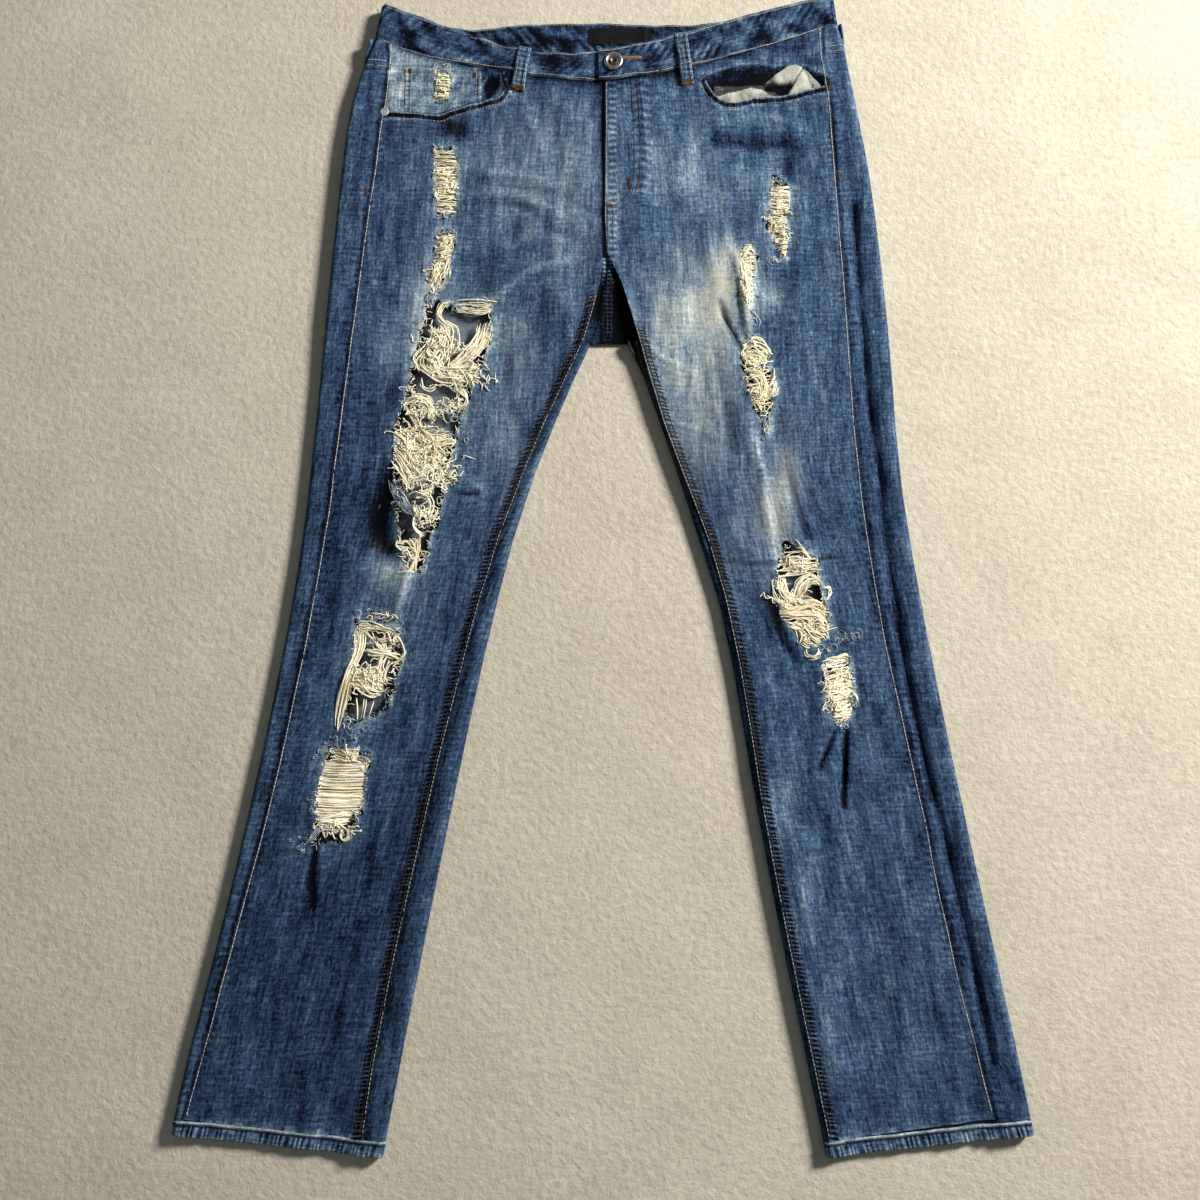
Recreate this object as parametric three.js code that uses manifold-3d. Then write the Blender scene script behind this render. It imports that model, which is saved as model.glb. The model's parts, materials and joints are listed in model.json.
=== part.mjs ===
// Ripped slim-straight jeans laid flat on a surface, front up, waist towards +Y.
// Millimetres. The surface is z = 0, and the origin is under the middle of the garment.
// "Right" and "left" are the wearer's, so the right leg lies at -X.
import * as THREE from 'three';
import { mergeVertices } from 'three/addons/utils/BufferGeometryUtils.js';
import Module from 'manifold-3d';

const wasm = await Module();
wasm.setup();

// Driving sizes
const denim = 1.4;          // wall of one denim layer
const doubled = 2.4;        // waistband and hems, folded on themselves
const pocketing = 1.0;      // light cotton of the pocket bags
const patchCloth = 1.2;     // back pockets, loops and facings
const gap = 0.34;           // clearance at every seam
const seamGap = 0.7;        // under the waistband, whose edge is a run of short straight lines
const layerStep = 4.4;      // from the middle of the under layer to the middle of the top layer
const seatLift = 1.5;       // what the back pockets hold the seat up
const waistSeam = { outerRight: 458, outerLeft: 473, centre: 417 };
const hemSeam = { outer: -467, inner: -484 };
const hemDepth = 12.5;
const hemPress = 0.4;       // how much closer the two sides of a hem lie
const centreX = 4;          // the centre front and back seams
const crotchFold = 175;     // where the seat folds over between the legs
const yokeGap = 1.6;        // under the waistband at the back, where its edge curves most
const frontColumns = 11;
const bottomColumns = 6;
const rollSteps = 4;
const hemColumns = 5;
const rowStations = [0, 0.03, 0.06, 0.1, 0.14, 0.18, 0.21, 0.24, 0.2664, 0.2697, 0.3, 0.35, 0.4,
  0.46, 0.52, 0.58, 0.64, 0.7, 0.76, 0.82, 0.88, 0.94, 1];
const yokeRow = 1;          // the station where the yoke meets the back panel at the side
const foldRow = 9;          // the first station below the crotch fold

const denimBlue = 0x4a6584;
const denimDark = 0x35475f;
const denimFaded = 0x8496a8;

// A smooth curve through a few points [t, value], as a function of t.
function curve(...points) {
  const sorted = [...points].sort((a, b) => a[0] - b[0]);
  const slope = (i) => {
    const a = sorted[Math.max(i - 1, 0)];
    const b = sorted[Math.min(i + 1, sorted.length - 1)];
    return (b[1] - a[1]) / (b[0] - a[0]);
  };
  return (t) => {
    const last = sorted.length - 2;
    const found = sorted.findIndex((p) => p[0] > t) - 1;
    const i = t <= sorted[0][0] ? 0 : found < 0 ? last : Math.min(found, last);
    const [t0, v0] = sorted[i];
    const [t1, v1] = sorted[i + 1];
    const width = t1 - t0;
    const s = THREE.MathUtils.clamp((t - t0) / width, 0, 1);
    const bend = s * s * (3 - 2 * s);
    const lead = s * (1 - s) * (1 - s) * slope(i) - s * s * (1 - s) * slope(i + 1);
    return v0 + (v1 - v0) * bend + lead * width;
  };
}

const { lerp, smoothstep } = THREE.MathUtils;
const grid = (count) => [...Array(count).keys()].map((i) => i / (count - 1));

// Both legs: silhouettes and seams as x for each y, from the waist seam to the hem.
const legs = {
  right: {
    side: -1,
    waistY: waistSeam.outerRight,
    silhouetteOuter: curve([491, -197], [458, -204], [400, -222], [340, -229], [215, -238], [50, -249],
      [-15, -255], [-125, -271], [-300, -304], [-450, -337], [-480, -341]),
    silhouetteInner: curve([175, -8], [115, -35], [20, -69], [-95, -97], [-240, -126], [-400, -156],
      [-497, -173]),
    outseam: curve([458, -191], [390, -196], [275, -208], [130, -223], [0, -236], [-180, -265],
      [-330, -299], [-467, -331]),
    frontInner: curve([417, 3], [300, 2], [240, 1], [206, -6], [163, -20], [127, -38], [0, -87],
      [-137, -123], [-294, -157], [-410, -179], [-484, -189]),
  },
  left: {
    side: 1,
    waistY: waistSeam.outerLeft,
    silhouetteOuter: curve([498, 207], [473, 214], [409, 225], [323, 238], [175, 250], [64, 255],
      [-16, 264], [-158, 286], [-310, 313], [-440, 337], [-480, 343]),
    silhouetteInner: curve([175, 22], [160, 31], [132, 40], [90, 55], [-16, 88], [-73, 104],
      [-212, 126], [-333, 147], [-484, 176], [-497, 178]),
    outseam: curve([467, 197], [410, 204], [307, 209], [167, 216], [64, 221], [-65, 236],
      [-208, 262], [-350, 287], [-467, 313]),
    frontInner: curve([417, 3.4], [300, 3.4], [262, 3.4], [245, 9], [227, 18], [182, 31], [153, 39],
      [124, 46], [61, 68], [-18, 96], [-106, 115], [-217, 131], [-333, 151], [-484, 180]),
  },
};

const bandTop = curve([-197, 491], [-131, 468], [-74, 449], [-4, 445], [35, 453], [76, 464],
  [117, 478], [184, 495], [207, 498]);
const bandBottom = curve([-204, 458], [-146, 438], [-92, 429], [-62, 423], [-8, 417], [33, 422],
  [90, 435], [138, 448], [198, 468], [214, 473]);
const bandBackTop = curve([-197, 491], [-128, 470], [-68, 475], [0, 476], [64, 474], [112, 478],
  [207, 498]);
const bandBackBottom = curve([-204, 458], [-128, 437], [-68, 442], [0, 443], [64, 441], [112, 445],
  [214, 473]);

// The x of the waistband's top and lower corner at each side.
const bandCorners = { right: [-197, -204], left: [207, 214] };

// The main folds of the top layer: ridges from one point to another.
const folds = [
  { from: [124, 248], to: [134, 168], halfWidth: 9, height: 3.2 },   // left thigh, beside the rips
  { from: [165, 100], to: [178, 0], halfWidth: 14, height: 1.8 },
  { from: [-128, 262], to: [-60, 300], halfWidth: 12, height: 1.5 },  // right hip whisker
  { from: [-152, -40], to: [-176, -62], halfWidth: 11, height: 2.2 }, // right knee
  { from: [-262, -240], to: [-300, -400], halfWidth: 15, height: 1.6 },
  { from: [232, 260], to: [300, -300], halfWidth: 9, height: 1.6 },   // left side roll
];

function foldHeight(x, y) {
  let height = 0;
  for (const fold of folds) {
    const [ax, ay] = fold.from;
    const [bx, by] = fold.to;
    const length2 = (bx - ax) ** 2 + (by - ay) ** 2;
    const along = THREE.MathUtils.clamp(((x - ax) * (bx - ax) + (y - ay) * (by - ay)) / length2, 0, 1);
    const off = Math.hypot(x - lerp(ax, bx, along), y - lerp(ay, by, along));
    height += fold.height * Math.exp(-((off / fold.halfWidth) ** 2));
  }
  return height;
}

const seatStart = 135;
const seatFull = 205;
const lift = (y) => seatLift * smoothstep(y, seatStart, seatFull);
const underZ = (y) => denim / 2 + lift(y);
const topZ = (y) => underZ(y) + layerStep;

// A row of the grid: its y at the outer silhouette and at the inner edge.
const outerY = (leg, v) => lerp(leg.waistY, hemSeam.outer, v);
const innerY = (v) => lerp(waistSeam.centre, hemSeam.inner, v);

// The back's inner end starts lower, at the point of the yoke.
function innerBackY(v) {
  const yokePoint = 366;
  const levelFrom = 0.21;
  const yokeV = rowStations[yokeRow];
  return innerY(v) + (yokePoint - innerY(yokeV)) * (1 - smoothstep(v, yokeV, levelFrom));
}

const up = new THREE.Vector3(0, 0, 1);
const down = new THREE.Vector3(0, 0, -1);

// One point of a cloth patch: where it is, and which way its outer face looks.
const at = (x, y, z, normal = up) => ({ place: new THREE.Vector3(x, y, z), normal });

// Turns a patch of points (missing ones are null) into one closed wall. A ring's last column
// joins its first.
function wall(rows, thickness, ring = false) {
  const columns = rows[0].length;
  const index = rows.map((row) => row.map(() => -1));
  const positions = [];
  let count = 0;
  rows.forEach((row, r) => row.forEach((point, c) => {
    if (!point) return;
    index[r][c] = count;
    count += 1;
    const { place, normal } = point;
    const half = normal.clone().multiplyScalar(thickness / 2);
    positions.push(...place.clone().add(half).toArray(), ...place.clone().sub(half).toArray());
  }));
  const faces = [];
  const edges = new Map();
  for (let r = 0; r + 1 < rows.length; r += 1) {
    for (let c = 0; c + (ring ? 0 : 1) < columns; c += 1) {
      const next = (c + 1) % columns;
      const quad = [index[r][c], index[r][next], index[r + 1][next], index[r + 1][c]];
      if (quad.includes(-1)) continue;
      faces.push([quad[0], quad[1], quad[2]], [quad[0], quad[2], quad[3]]);
      quad.forEach((a, i) => edges.set(`${a},${quad[(i + 1) % 4]}`, [a, quad[(i + 1) % 4]]));
    }
  }
  const indices = [];
  for (const [a, b, c] of faces) {
    indices.push(2 * a, 2 * b, 2 * c, 2 * a + 1, 2 * c + 1, 2 * b + 1);
  }
  for (const [a, b] of edges.values()) {
    if (edges.has(`${b},${a}`)) continue;
    indices.push(2 * a, 2 * a + 1, 2 * b + 1, 2 * a, 2 * b + 1, 2 * b);
  }
  const geometry = new THREE.BufferGeometry();
  geometry.setAttribute('position', new THREE.Float32BufferAttribute(positions, 3));
  geometry.setIndex(volume(positions, indices) < 0 ? indices.reverse() : indices);
  return geometry;
}

function volume(positions, indices) {
  const corner = (i) => new THREE.Vector3().fromArray(positions, 3 * indices[i]);
  let sum = 0;
  for (let i = 0; i < indices.length; i += 3) sum += corner(i).dot(corner(i + 1).cross(corner(i + 2)));
  return sum;
}

function solid(geometry) {
  const bare = geometry.clone();
  bare.deleteAttribute('normal');
  bare.deleteAttribute('uv');
  const merged = mergeVertices(bare, 1e-4);
  return new wasm.Manifold(new wasm.Mesh({
    numProp: 3,
    vertProperties: new Float32Array(merged.attributes.position.array),
    triVerts: new Uint32Array(merged.index.array),
  }));
}

function fromSolid(body) {
  const mesh = body.getMesh();
  const geometry = new THREE.BufferGeometry();
  geometry.setAttribute('position', new THREE.BufferAttribute(mesh.vertProperties.slice(), 3));
  geometry.setIndex(new THREE.BufferAttribute(mesh.triVerts.slice(), 1));
  return geometry;
}

function prism(outline, low, high) {
  const shape = new THREE.Shape(outline.map(([x, y]) => new THREE.Vector2(x, y)));
  const geometry = new THREE.ExtrudeGeometry(shape, { depth: high - low, bevelEnabled: false });
  return geometry.translate(0, 0, low);
}

function cut(geometry, outlines, low, high) {
  const body = outlines.reduce((rest, outline) => rest.subtract(solid(prism(outline, low, high))),
    solid(geometry));
  return fromSolid(body);
}

const jeans = new THREE.Group();
function add(name, geometry, colour, roughness = 0.9, metalness = 0) {
  const material = new THREE.MeshStandardMaterial({ color: colour, roughness, metalness });
  const mesh = new THREE.Mesh(geometry, material);
  mesh.name = name;
  jeans.add(mesh);
}

// ---- Front panels: from the outseam to the centre seam, the fly and then the inseam.

// Rows near the waist bend to follow the lower edge of the waistband.
const bendsUntil = 0.16;
function frontPoint(leg, u, v) {
  const yOuter = outerY(leg, v);
  const yInner = innerY(v);
  const side = leg.side * gap / 2;
  const x = lerp(leg.outseam(yOuter) - side, leg.frontInner(yInner) + side, u);
  const straight = lerp(outerY(leg, 0), innerY(0), u);
  const bend = (bandBottom(x) - straight - seamGap) * (1 - smoothstep(v, 0, bendsUntil));
  const y = lerp(yOuter, yInner, u) + bend;
  return at(x, y, topZ(y) + foldHeight(x, y));
}

function frontPanel(leg) {
  return wall(rowStations.map((v) => grid(frontColumns).map((u) => frontPoint(leg, u, v))), denim);
}

// Pocket openings, from the outseam along the mouth and up to the waist seam.
const mouthRight = [[-196, 388], [-144, 386], [-130, 391], [-107, 397], [-90, 403], [-84, 412], [-88, 424]];
const mouthLeft = [[203, 412], [186, 409], [165, 403], [134, 401], [117, 396], [102, 402], [95, 416],
  [91, 433]];
const openingRight = [...mouthRight, [-92, 470], [-230, 480], [-230, 388]];
const openingLeft = [...mouthLeft, [91, 470], [235, 500], [235, 412]];

// Rips, each the hole that the loose threads bridge.
const ripsRight = [
  [[-148, 355], [-130, 354], [-127, 322], [-129, 289], [-144, 290], [-147, 322]],
  [[-142, 277], [-128, 274], [-134, 245], [-141, 222], [-150, 222], [-147, 246]],
  [[-149, 213], [-124, 206], [-97, 212], [-95, 176], [-112, 134], [-124, 88], [-136, 36], [-152, -28],
    [-164, -28], [-177, 34], [-177, 96], [-162, 158]],
  [[-206, -68], [-171, -76], [-165, -101], [-177, -140], [-205, -160], [-214, -158], [-208, -118]],
  [[-228, -174], [-192, -180], [-195, -217], [-207, -251], [-236, -255], [-234, -217]],
];
const ripsLeft = [
  [[152, 327], [167, 316], [161, 248], [148, 278]],
  [[123, 258], [135, 254], [130, 206], [120, 214]],
  [[122, 177], [138, 172], [150, 132], [142, 90], [129, 124]],
  [[157, -4], [181, -16], [191, -74], [178, -92], [151, -66], [146, -33]],
  [[186, -104], [208, -104], [211, -134], [202, -157], [187, -134]],
];
const coinRip = [[-149, 431], [-137, 430], [-136, 397], [-148, 397]];
const cutLow = denim + layerStep / 2;
const cutHigh = 30;

const panelCuts = { right: [openingRight, ...ripsRight], left: [openingLeft, ...ripsLeft] };
for (const [name, leg] of Object.entries(legs)) {
  add(`front_panel_${name}`, cut(frontPanel(leg), panelCuts[name], cutLow, cutHigh), denimBlue);
}

// ---- Back panels and yokes: a strip on top beside the outseam, the outer roll, the under layer,
// and below the crotch the inner roll and a strip on top up to the inseam.

function backRow(leg, v, yShift, yInner, withInner) {
  const { side } = leg;
  const yOuter = outerY(leg, v) + yShift;
  const radius = layerStep / 2;
  const edge = leg.silhouetteOuter(yOuter) - side * (radius + denim / 2);
  const points = [at(leg.outseam(yOuter) + side * gap / 2, yOuter, topZ(yOuter))];
  points[0].place.z += foldHeight(points[0].place.x, yOuter);
  const middle = lerp(points[0].place.x, edge, 0.6);   // a little nearer the roll
  points.push(at(middle, yOuter, topZ(yOuter) + foldHeight(middle, yOuter)));
  for (let i = 0; i <= rollSteps; i += 1) {
    const angle = Math.PI / 2 - Math.PI * i / rollSteps;
    const out = new THREE.Vector3(side * Math.cos(angle), 0, Math.sin(angle));
    points.push(at(edge + out.x * radius, yOuter, underZ(yOuter) + radius + out.z * radius, out));
  }
  const innerEdge = withInner
    ? leg.silhouetteInner(yInner) + side * (radius + denim / 2)
    : centreX + side * gap / 2;
  for (let i = 1; i <= bottomColumns; i += 1) {
    const share = i / bottomColumns;
    const y = lerp(yOuter, yInner, share);
    points.push(at(lerp(edge, innerEdge, share), y, underZ(y), down));
  }
  for (let i = 1; i <= rollSteps; i += 1) {
    const angle = -Math.PI / 2 + Math.PI * i / rollSteps;
    const out = new THREE.Vector3(-side * Math.cos(angle), 0, Math.sin(angle));
    const point = at(innerEdge + out.x * radius, yInner, underZ(yInner) + radius + out.z * radius, out);
    points.push(withInner ? point : null);
  }
  const seamX = leg.frontInner(yInner) - side * gap / 2;
  points.push(withInner ? at(seamX, yInner, topZ(yInner)) : null);
  return points;
}

function backPanel(leg) {
  const rows = rowStations.slice(yokeRow).map((v, i) => {
    const below = i + yokeRow >= foldRow;
    return backRow(leg, v, i ? 0 : -gap / 2, below ? innerY(v) : innerBackY(v), below);
  });
  return wall(rows, denim);
}

// The yoke runs from the back panel's top row up to the edge of the waistband.
function backYoke(leg) {
  const yokeV = rowStations[yokeRow];
  const rowAt = (v) => backRow(leg, v, v ? gap : 0, innerBackY(yokeV) + gap, false)
    .slice(0, 2 + rollSteps + 1 + bottomColumns);
  const lowRow = rowAt(yokeV);
  const rows = [0, 0.5, 1].map((s) => rowAt(yokeV * s).map(({ place, normal }, i) => {
    const share = (1 - normal.z) / 2;
    const top = lerp(bandBottom(place.x), bandBackBottom(place.x), share) - yokeGap;
    return at(place.x, lerp(top, lowRow[i].place.y, s), place.z, normal);
  }));
  return wall(rows, denim);
}

for (const [name, leg] of Object.entries(legs)) {
  add(`back_panel_${name}`, backPanel(leg), denimBlue);
  add(`back_yoke_${name}`, backYoke(leg), denimBlue);
}

// ---- Hems: the leg ends turned up twice, as flattened rings.

function hem(leg) {
  const { side } = leg;
  const step = layerStep - hemPress;
  const radius = step / 2;
  const low = doubled / 2;
  const rows = [0, 0.5, 1].map((s) => {
    const drop = lerp(gap, hemDepth, s);
    const yOuter = hemSeam.outer - drop;
    const yInner = hemSeam.inner - drop;
    const outer = leg.silhouetteOuter(yOuter) - side * (radius + low);
    const inner = leg.silhouetteInner(yInner) + side * (radius + low);
    const seamOuter = leg.outseam(hemSeam.outer);
    const seamInner = leg.frontInner(hemSeam.inner);
    const across = grid(hemColumns)
      .map((u) => at(lerp(seamInner, seamOuter, u), lerp(yInner, yOuter, u), low + step));
    const points = [at(inner, yInner, low + step), ...across];
    for (let i = 0; i <= rollSteps; i += 1) {
      const angle = Math.PI / 2 - Math.PI * i / rollSteps;
      const out = new THREE.Vector3(side * Math.cos(angle), 0, Math.sin(angle));
      points.push(at(outer + out.x * radius, yOuter, low + radius + out.z * radius, out));
    }
    for (let i = 1; i <= hemColumns; i += 1) {
      const u = i / hemColumns;
      points.push(at(lerp(outer, inner, u), lerp(yOuter, yInner, u), low, down));
    }
    for (let i = 1; i < rollSteps; i += 1) {
      const angle = -Math.PI / 2 + Math.PI * i / rollSteps;
      const out = new THREE.Vector3(-side * Math.cos(angle), 0, Math.sin(angle));
      points.push(at(inner + out.x * radius, yInner, low + radius + out.z * radius, out));
    }
    return points;
  });
  return wall(rows, doubled, true);
}

for (const [name, leg] of Object.entries(legs)) add(`hem_${name}`, hem(leg), denimBlue);

// ---- Waistband: one strip folded lengthwise, from the button end under the fly, round the
// back, to the buttonhole end on top.

const bandBackZ = seatLift + doubled / 2;
const bandFrontZ = topZ(waistSeam.centre);
const overEnd = { x: -4, flatTo: 22, rampTo: 48, rise: doubled + gap };
const underEndX = 17;

function bandColumn(x, sideName, top, bottom, z, normal) {
  const [topCorner, bottomCorner] = bandCorners[sideName];
  const slant = (bottomCorner - topCorner) * Math.abs(x / topCorner);
  return [0, 0.5, 1].map((s) => at(x + slant * s, lerp(top(x), bottom(x + slant), s), z, normal));
}

function waistband() {
  const radius = (bandFrontZ - bandBackZ) / 2;
  const columns = [];
  const run = (from, to, steps, make) => {
    for (let i = 0; i <= steps; i += 1) columns.push(make(lerp(from, to, i / steps)));
  };
  const corner = (sideName, startAngle, turn) => {
    const sign = sideName === 'left' ? 1 : -1;
    const x = bandCorners[sideName][0] - sign * (radius + doubled / 2);
    for (let i = 1; i < rollSteps; i += 1) {
      const angle = startAngle + turn * Math.PI * i / rollSteps;
      const out = new THREE.Vector3(sign * Math.cos(angle), 0, Math.sin(angle));
      const share = (1 - Math.sin(angle)) / 2;
      const top = (t) => lerp(bandTop(t), bandBackTop(t), share);
      const bottom = (t) => lerp(bandBottom(t), bandBackBottom(t), share);
      columns.push(bandColumn(x, sideName, top, bottom, (bandFrontZ + bandBackZ) / 2 + out.z * radius, out)
        .map((point) => {
          point.place.x += out.x * radius;
          return point;
        }));
    }
  };
  const inset = radius + doubled / 2;
  const rightEnd = bandCorners.right[0] + inset;
  const leftEnd = bandCorners.left[0] - inset;
  run(underEndX, rightEnd, 10, (x) => bandColumn(x, 'right', bandTop, bandBottom, bandFrontZ, up));
  corner('right', Math.PI / 2, -1);
  run(rightEnd, leftEnd, 16,
    (x) => bandColumn(x, x < 0 ? 'right' : 'left', bandBackTop, bandBackBottom, bandBackZ, down));
  corner('left', -Math.PI / 2, 1);
  const over = (x) => overEnd.rise * (1 - smoothstep(x, overEnd.flatTo, overEnd.rampTo));
  run(leftEnd, overEnd.rampTo, 6, (x) => bandColumn(x, 'left', bandTop, bandBottom, bandFrontZ, up));
  columns.pop();
  run(overEnd.rampTo, overEnd.x, 6,
    (x) => bandColumn(x, 'left', bandTop, bandBottom, bandFrontZ + over(x), up));
  return wall(columns, doubled);
}

add('waistband', waistband(), denimBlue);

// ---- Front pockets: denim facings in the mouths, the coin pocket on the right one, and the bags.

const facingLow = 366;       // where both facings end, under the panels
const facingProud = 0.3;     // how far they stay below the top layer's middle at the waist seam
const facings = {
  right: { leg: legs.right, inner: -78, sink: 1.6, riseFrom: 392, riseTo: 424, flatFrom: -88 },
  left: { leg: legs.left, inner: 86, sink: 2.8, riseFrom: 438, riseTo: 460, flatFrom: 96 },
};

// A facing lies its sink under the panel at the mouth and comes up beside it at the waist seam.
function facingZ({ leg, sink, riseFrom, riseTo, flatFrom }, x, y) {
  const rise = smoothstep((x - flatFrom) * leg.side, 0, 26) * smoothstep(y, riseFrom, riseTo);
  return topZ(y) - sink + (sink - facingProud) * rise;
}

function facing(settings) {
  const { leg, inner } = settings;
  const rows = grid(7).map((v) => grid(9).map((u) => {
    const guess = lerp(leg.outseam(waistSeam.centre), inner, u);
    const nominal = lerp(bandBottom(guess) - seamGap, facingLow, v);
    const x = lerp(leg.outseam(nominal) - leg.side * 2 * seamGap, inner, u);
    const y = lerp(bandBottom(x) - seamGap, facingLow, v);
    return at(x, y, facingZ(settings, x, y));
  }));
  return wall(rows, patchCloth);
}

function coinPocket() {
  const topEdge = curve([-175, 430], [-140, 429], [-107, 424]);
  const lowEdge = curve([-175, 388], [-144, 387.5], [-130, 392.5], [-107, 399]);
  const rows = grid(5).map((v) => grid(6).map((u) => {
    const x = lerp(-175, -107, u);
    const y = lerp(topEdge(x), lowEdge(x), v);
    return at(x, y, facingZ(facings.right, x, y) + patchCloth + gap);
  }));
  return cut(wall(rows, patchCloth), [coinRip], cutLow, cutHigh);
}

const bagZ = topZ(facingLow) - denim / 2 - gap - pocketing / 2;

// The left bag is pulled up out of the mouth in soft crumples.
function leftBag() {
  const topEdge = curve([99, 412], [112, 417], [135, 421], [150, 415], [166, 429], [182, 434], [197, 422]);
  const mouth = curve([99, 403], [117, 396], [134, 401], [165, 403], [186, 409], [203, 412]);
  const raised = [0, 0.35, 0.7].map((v) => grid(12).map((u) => {
    const x = lerp(101, 196, u);
    const y = lerp(topEdge(x), mouth(x) + 4, v);
    return at(x, y, bagZ + 1.4 + 1.1 * Math.sin(x / 6.5) * Math.sin(y / 9));
  }));
  const flat = [3, -8, -60, -108].map((off) => grid(12).map((u) => {
    const x = lerp(101, 196, u);
    return at(x, mouth(x) + off, bagZ);
  }));
  return wall([...raised, ...flat], pocketing);
}

// The right bag lies flat between the layers.
function rightBag() {
  const level = 3.7;
  const rows = [412, 296].map((y) => [-190, -84].map((x) => at(x, y, level)));
  return wall(rows, 0.9 * pocketing);
}

add('pocket_facing_right', facing(facings.right), denimFaded);
add('pocket_facing_left', facing(facings.left), denimBlue);
add('coin_pocket', coinPocket(), denimFaded);
add('pocket_bag_left', leftBag(), 0xd9dbd2);
add('pocket_bag_right', rightBag(), 0xc9bda2);

// ---- Back pockets, under the seat.

const backPocket = [[-172, 374], [-44, 346], [-42, 236], [-108, 214], [-168, 244]];
const mirrored = backPocket.map(([x, y]) => [2 * centreX - x, y]).reverse();
add('back_pocket_right', prism(backPocket, 0, patchCloth), denimBlue);
add('back_pocket_left', prism(mirrored, 0, patchCloth), denimBlue);

// ---- Belt loops: a strip between two ends, arched a little off what it crosses.

const loopWidth = 12;
function beltLoop([topX, topY], [lowX, lowY], z, arch, thickness) {
  const along = new THREE.Vector2(lowX - topX, lowY - topY).normalize();
  const rows = grid(5).map((v) => [-1, 1].map((end) => at(
    lerp(topX, lowX, v) - along.y * end * loopWidth / 2,
    lerp(topY, lowY, v) + along.x * end * loopWidth / 2,
    z + arch * Math.sin(Math.PI * v),
  )));
  return wall(rows, thickness);
}

const loopZ = bandFrontZ + doubled / 2 + gap + denim / 2;
add('belt_loop_front_right', beltLoop([-68, 450], [-76, 408], loopZ, 1.2, denim), denimFaded);
add('belt_loop_front_left', beltLoop([70, 463], [78, 415], loopZ, 1.2, denim), denimFaded);
const backLoops = { back_right: -112, back_centre: centreX, back_left: 118 };
for (const [name, x] of Object.entries(backLoops)) {
  const loop = beltLoop([x, bandBackTop(x) - 1], [x, bandBackBottom(x) - 9], patchCloth / 2, 0, patchCloth);
  add(`belt_loop_${name}`, loop, denimBlue);
}

// ---- Fly: the closed zip on its shield, between the layers.

const flyZip = { outline: [[-20, 411], [30, 413], [30, 318], [12, 296], [-20, 296]], low: 3.9, high: 5.3 };
add('fly_zip', prism(flyZip.outline, flyZip.low, flyZip.high), denimDark);

// ---- Metal: the shank button and the pocket rivet, turned about an upright axis.

const roundSides = 28;
function turned(profile, x, y, z) {
  const points = profile.map(([r, h]) => new THREE.Vector2(r, h));
  return new THREE.LatheGeometry(points, roundSides).rotateX(Math.PI / 2).translate(x, y, z);
}

const overZ = bandFrontZ + overEnd.rise + doubled / 2 + gap;
const button = { x: 11, y: 434, radius: 8.5, hole: 3.6 };
const { radius: rim, hole } = button;
add('button', turned([[hole, 0.6], [hole, 0], [rim - 1, 0], [rim, 1.1], [rim - 0.6, 2.2], [rim - 2, 2.7],
  [hole + 1.2, 2.2], [hole, 1.4], [hole, 0.6]], button.x, button.y, overZ), 0xb9bcc0, 0.35, 1);
add('button_centre', turned([[0, 0], [hole - gap, 0], [hole - gap, 0.9], [1.6, 0.9], [1.2, 1.7], [0, 1.9]],
  button.x, button.y, overZ), 0x4a4640, 0.5, 1);
add('rivet', turned([[0, 0], [3.4, 0], [4, 0.5], [3.6, 1.2], [1.8, 1.3], [1.2, 0.9], [0, 0.9]],
  -193, 387, bandFrontZ + denim / 2 + gap), 0xc4c4c0, 0.35, 1);

// ---- Neck label and size tab, both bare, on the inner face of the back waistband.

const ribbonBlack = 0x14151a;
const ribbonThick = 0.6;
const labelZ = bandBackZ + doubled / 2 + 0.25;
const label = [[-11, 453.5], [44, 453.5], [44, 468], [-11, 468]];
const tab = [[44.4, 454.5], [52, 454.5], [52, 468], [44.4, 468]];
add('waist_label', prism(label, labelZ, labelZ + ribbonThick), ribbonBlack);
add('size_tab', prism(tab, labelZ, labelZ + ribbonThick), ribbonBlack);

export default jeans;
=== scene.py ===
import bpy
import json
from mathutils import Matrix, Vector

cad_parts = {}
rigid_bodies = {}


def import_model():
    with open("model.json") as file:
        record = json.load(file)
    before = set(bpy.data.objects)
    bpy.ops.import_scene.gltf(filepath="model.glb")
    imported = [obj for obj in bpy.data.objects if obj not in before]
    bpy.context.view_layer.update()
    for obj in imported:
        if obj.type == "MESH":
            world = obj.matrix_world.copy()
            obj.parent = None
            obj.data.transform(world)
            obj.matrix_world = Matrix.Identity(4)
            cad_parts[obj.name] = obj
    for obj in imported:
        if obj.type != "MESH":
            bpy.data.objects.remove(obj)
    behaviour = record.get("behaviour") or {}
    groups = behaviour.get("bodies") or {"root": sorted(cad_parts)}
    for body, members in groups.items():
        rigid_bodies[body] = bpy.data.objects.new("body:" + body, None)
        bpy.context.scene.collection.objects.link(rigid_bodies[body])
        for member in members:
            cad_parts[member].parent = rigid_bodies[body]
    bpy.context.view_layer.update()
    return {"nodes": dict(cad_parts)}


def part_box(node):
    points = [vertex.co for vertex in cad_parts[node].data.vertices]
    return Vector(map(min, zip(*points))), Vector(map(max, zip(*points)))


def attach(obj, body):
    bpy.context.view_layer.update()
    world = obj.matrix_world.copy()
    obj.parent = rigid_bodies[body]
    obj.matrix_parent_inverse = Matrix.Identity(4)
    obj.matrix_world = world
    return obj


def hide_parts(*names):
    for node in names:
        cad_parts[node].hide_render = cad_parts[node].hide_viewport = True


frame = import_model()

import json
import math
import bpy
import numpy as np
from mathutils import Vector
from mathutils.bvhtree import BVHTree
from mathutils.geometry import delaunay_2d_cdt

mm = 0.001  # sizes below are in millimetres
stack = np.column_stack
rng = np.random.default_rng(21)
for spare in [made for made in bpy.data.objects if made.name in ("Cube", "Light", "Camera")]:
    bpy.data.objects.remove(spare)


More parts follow.
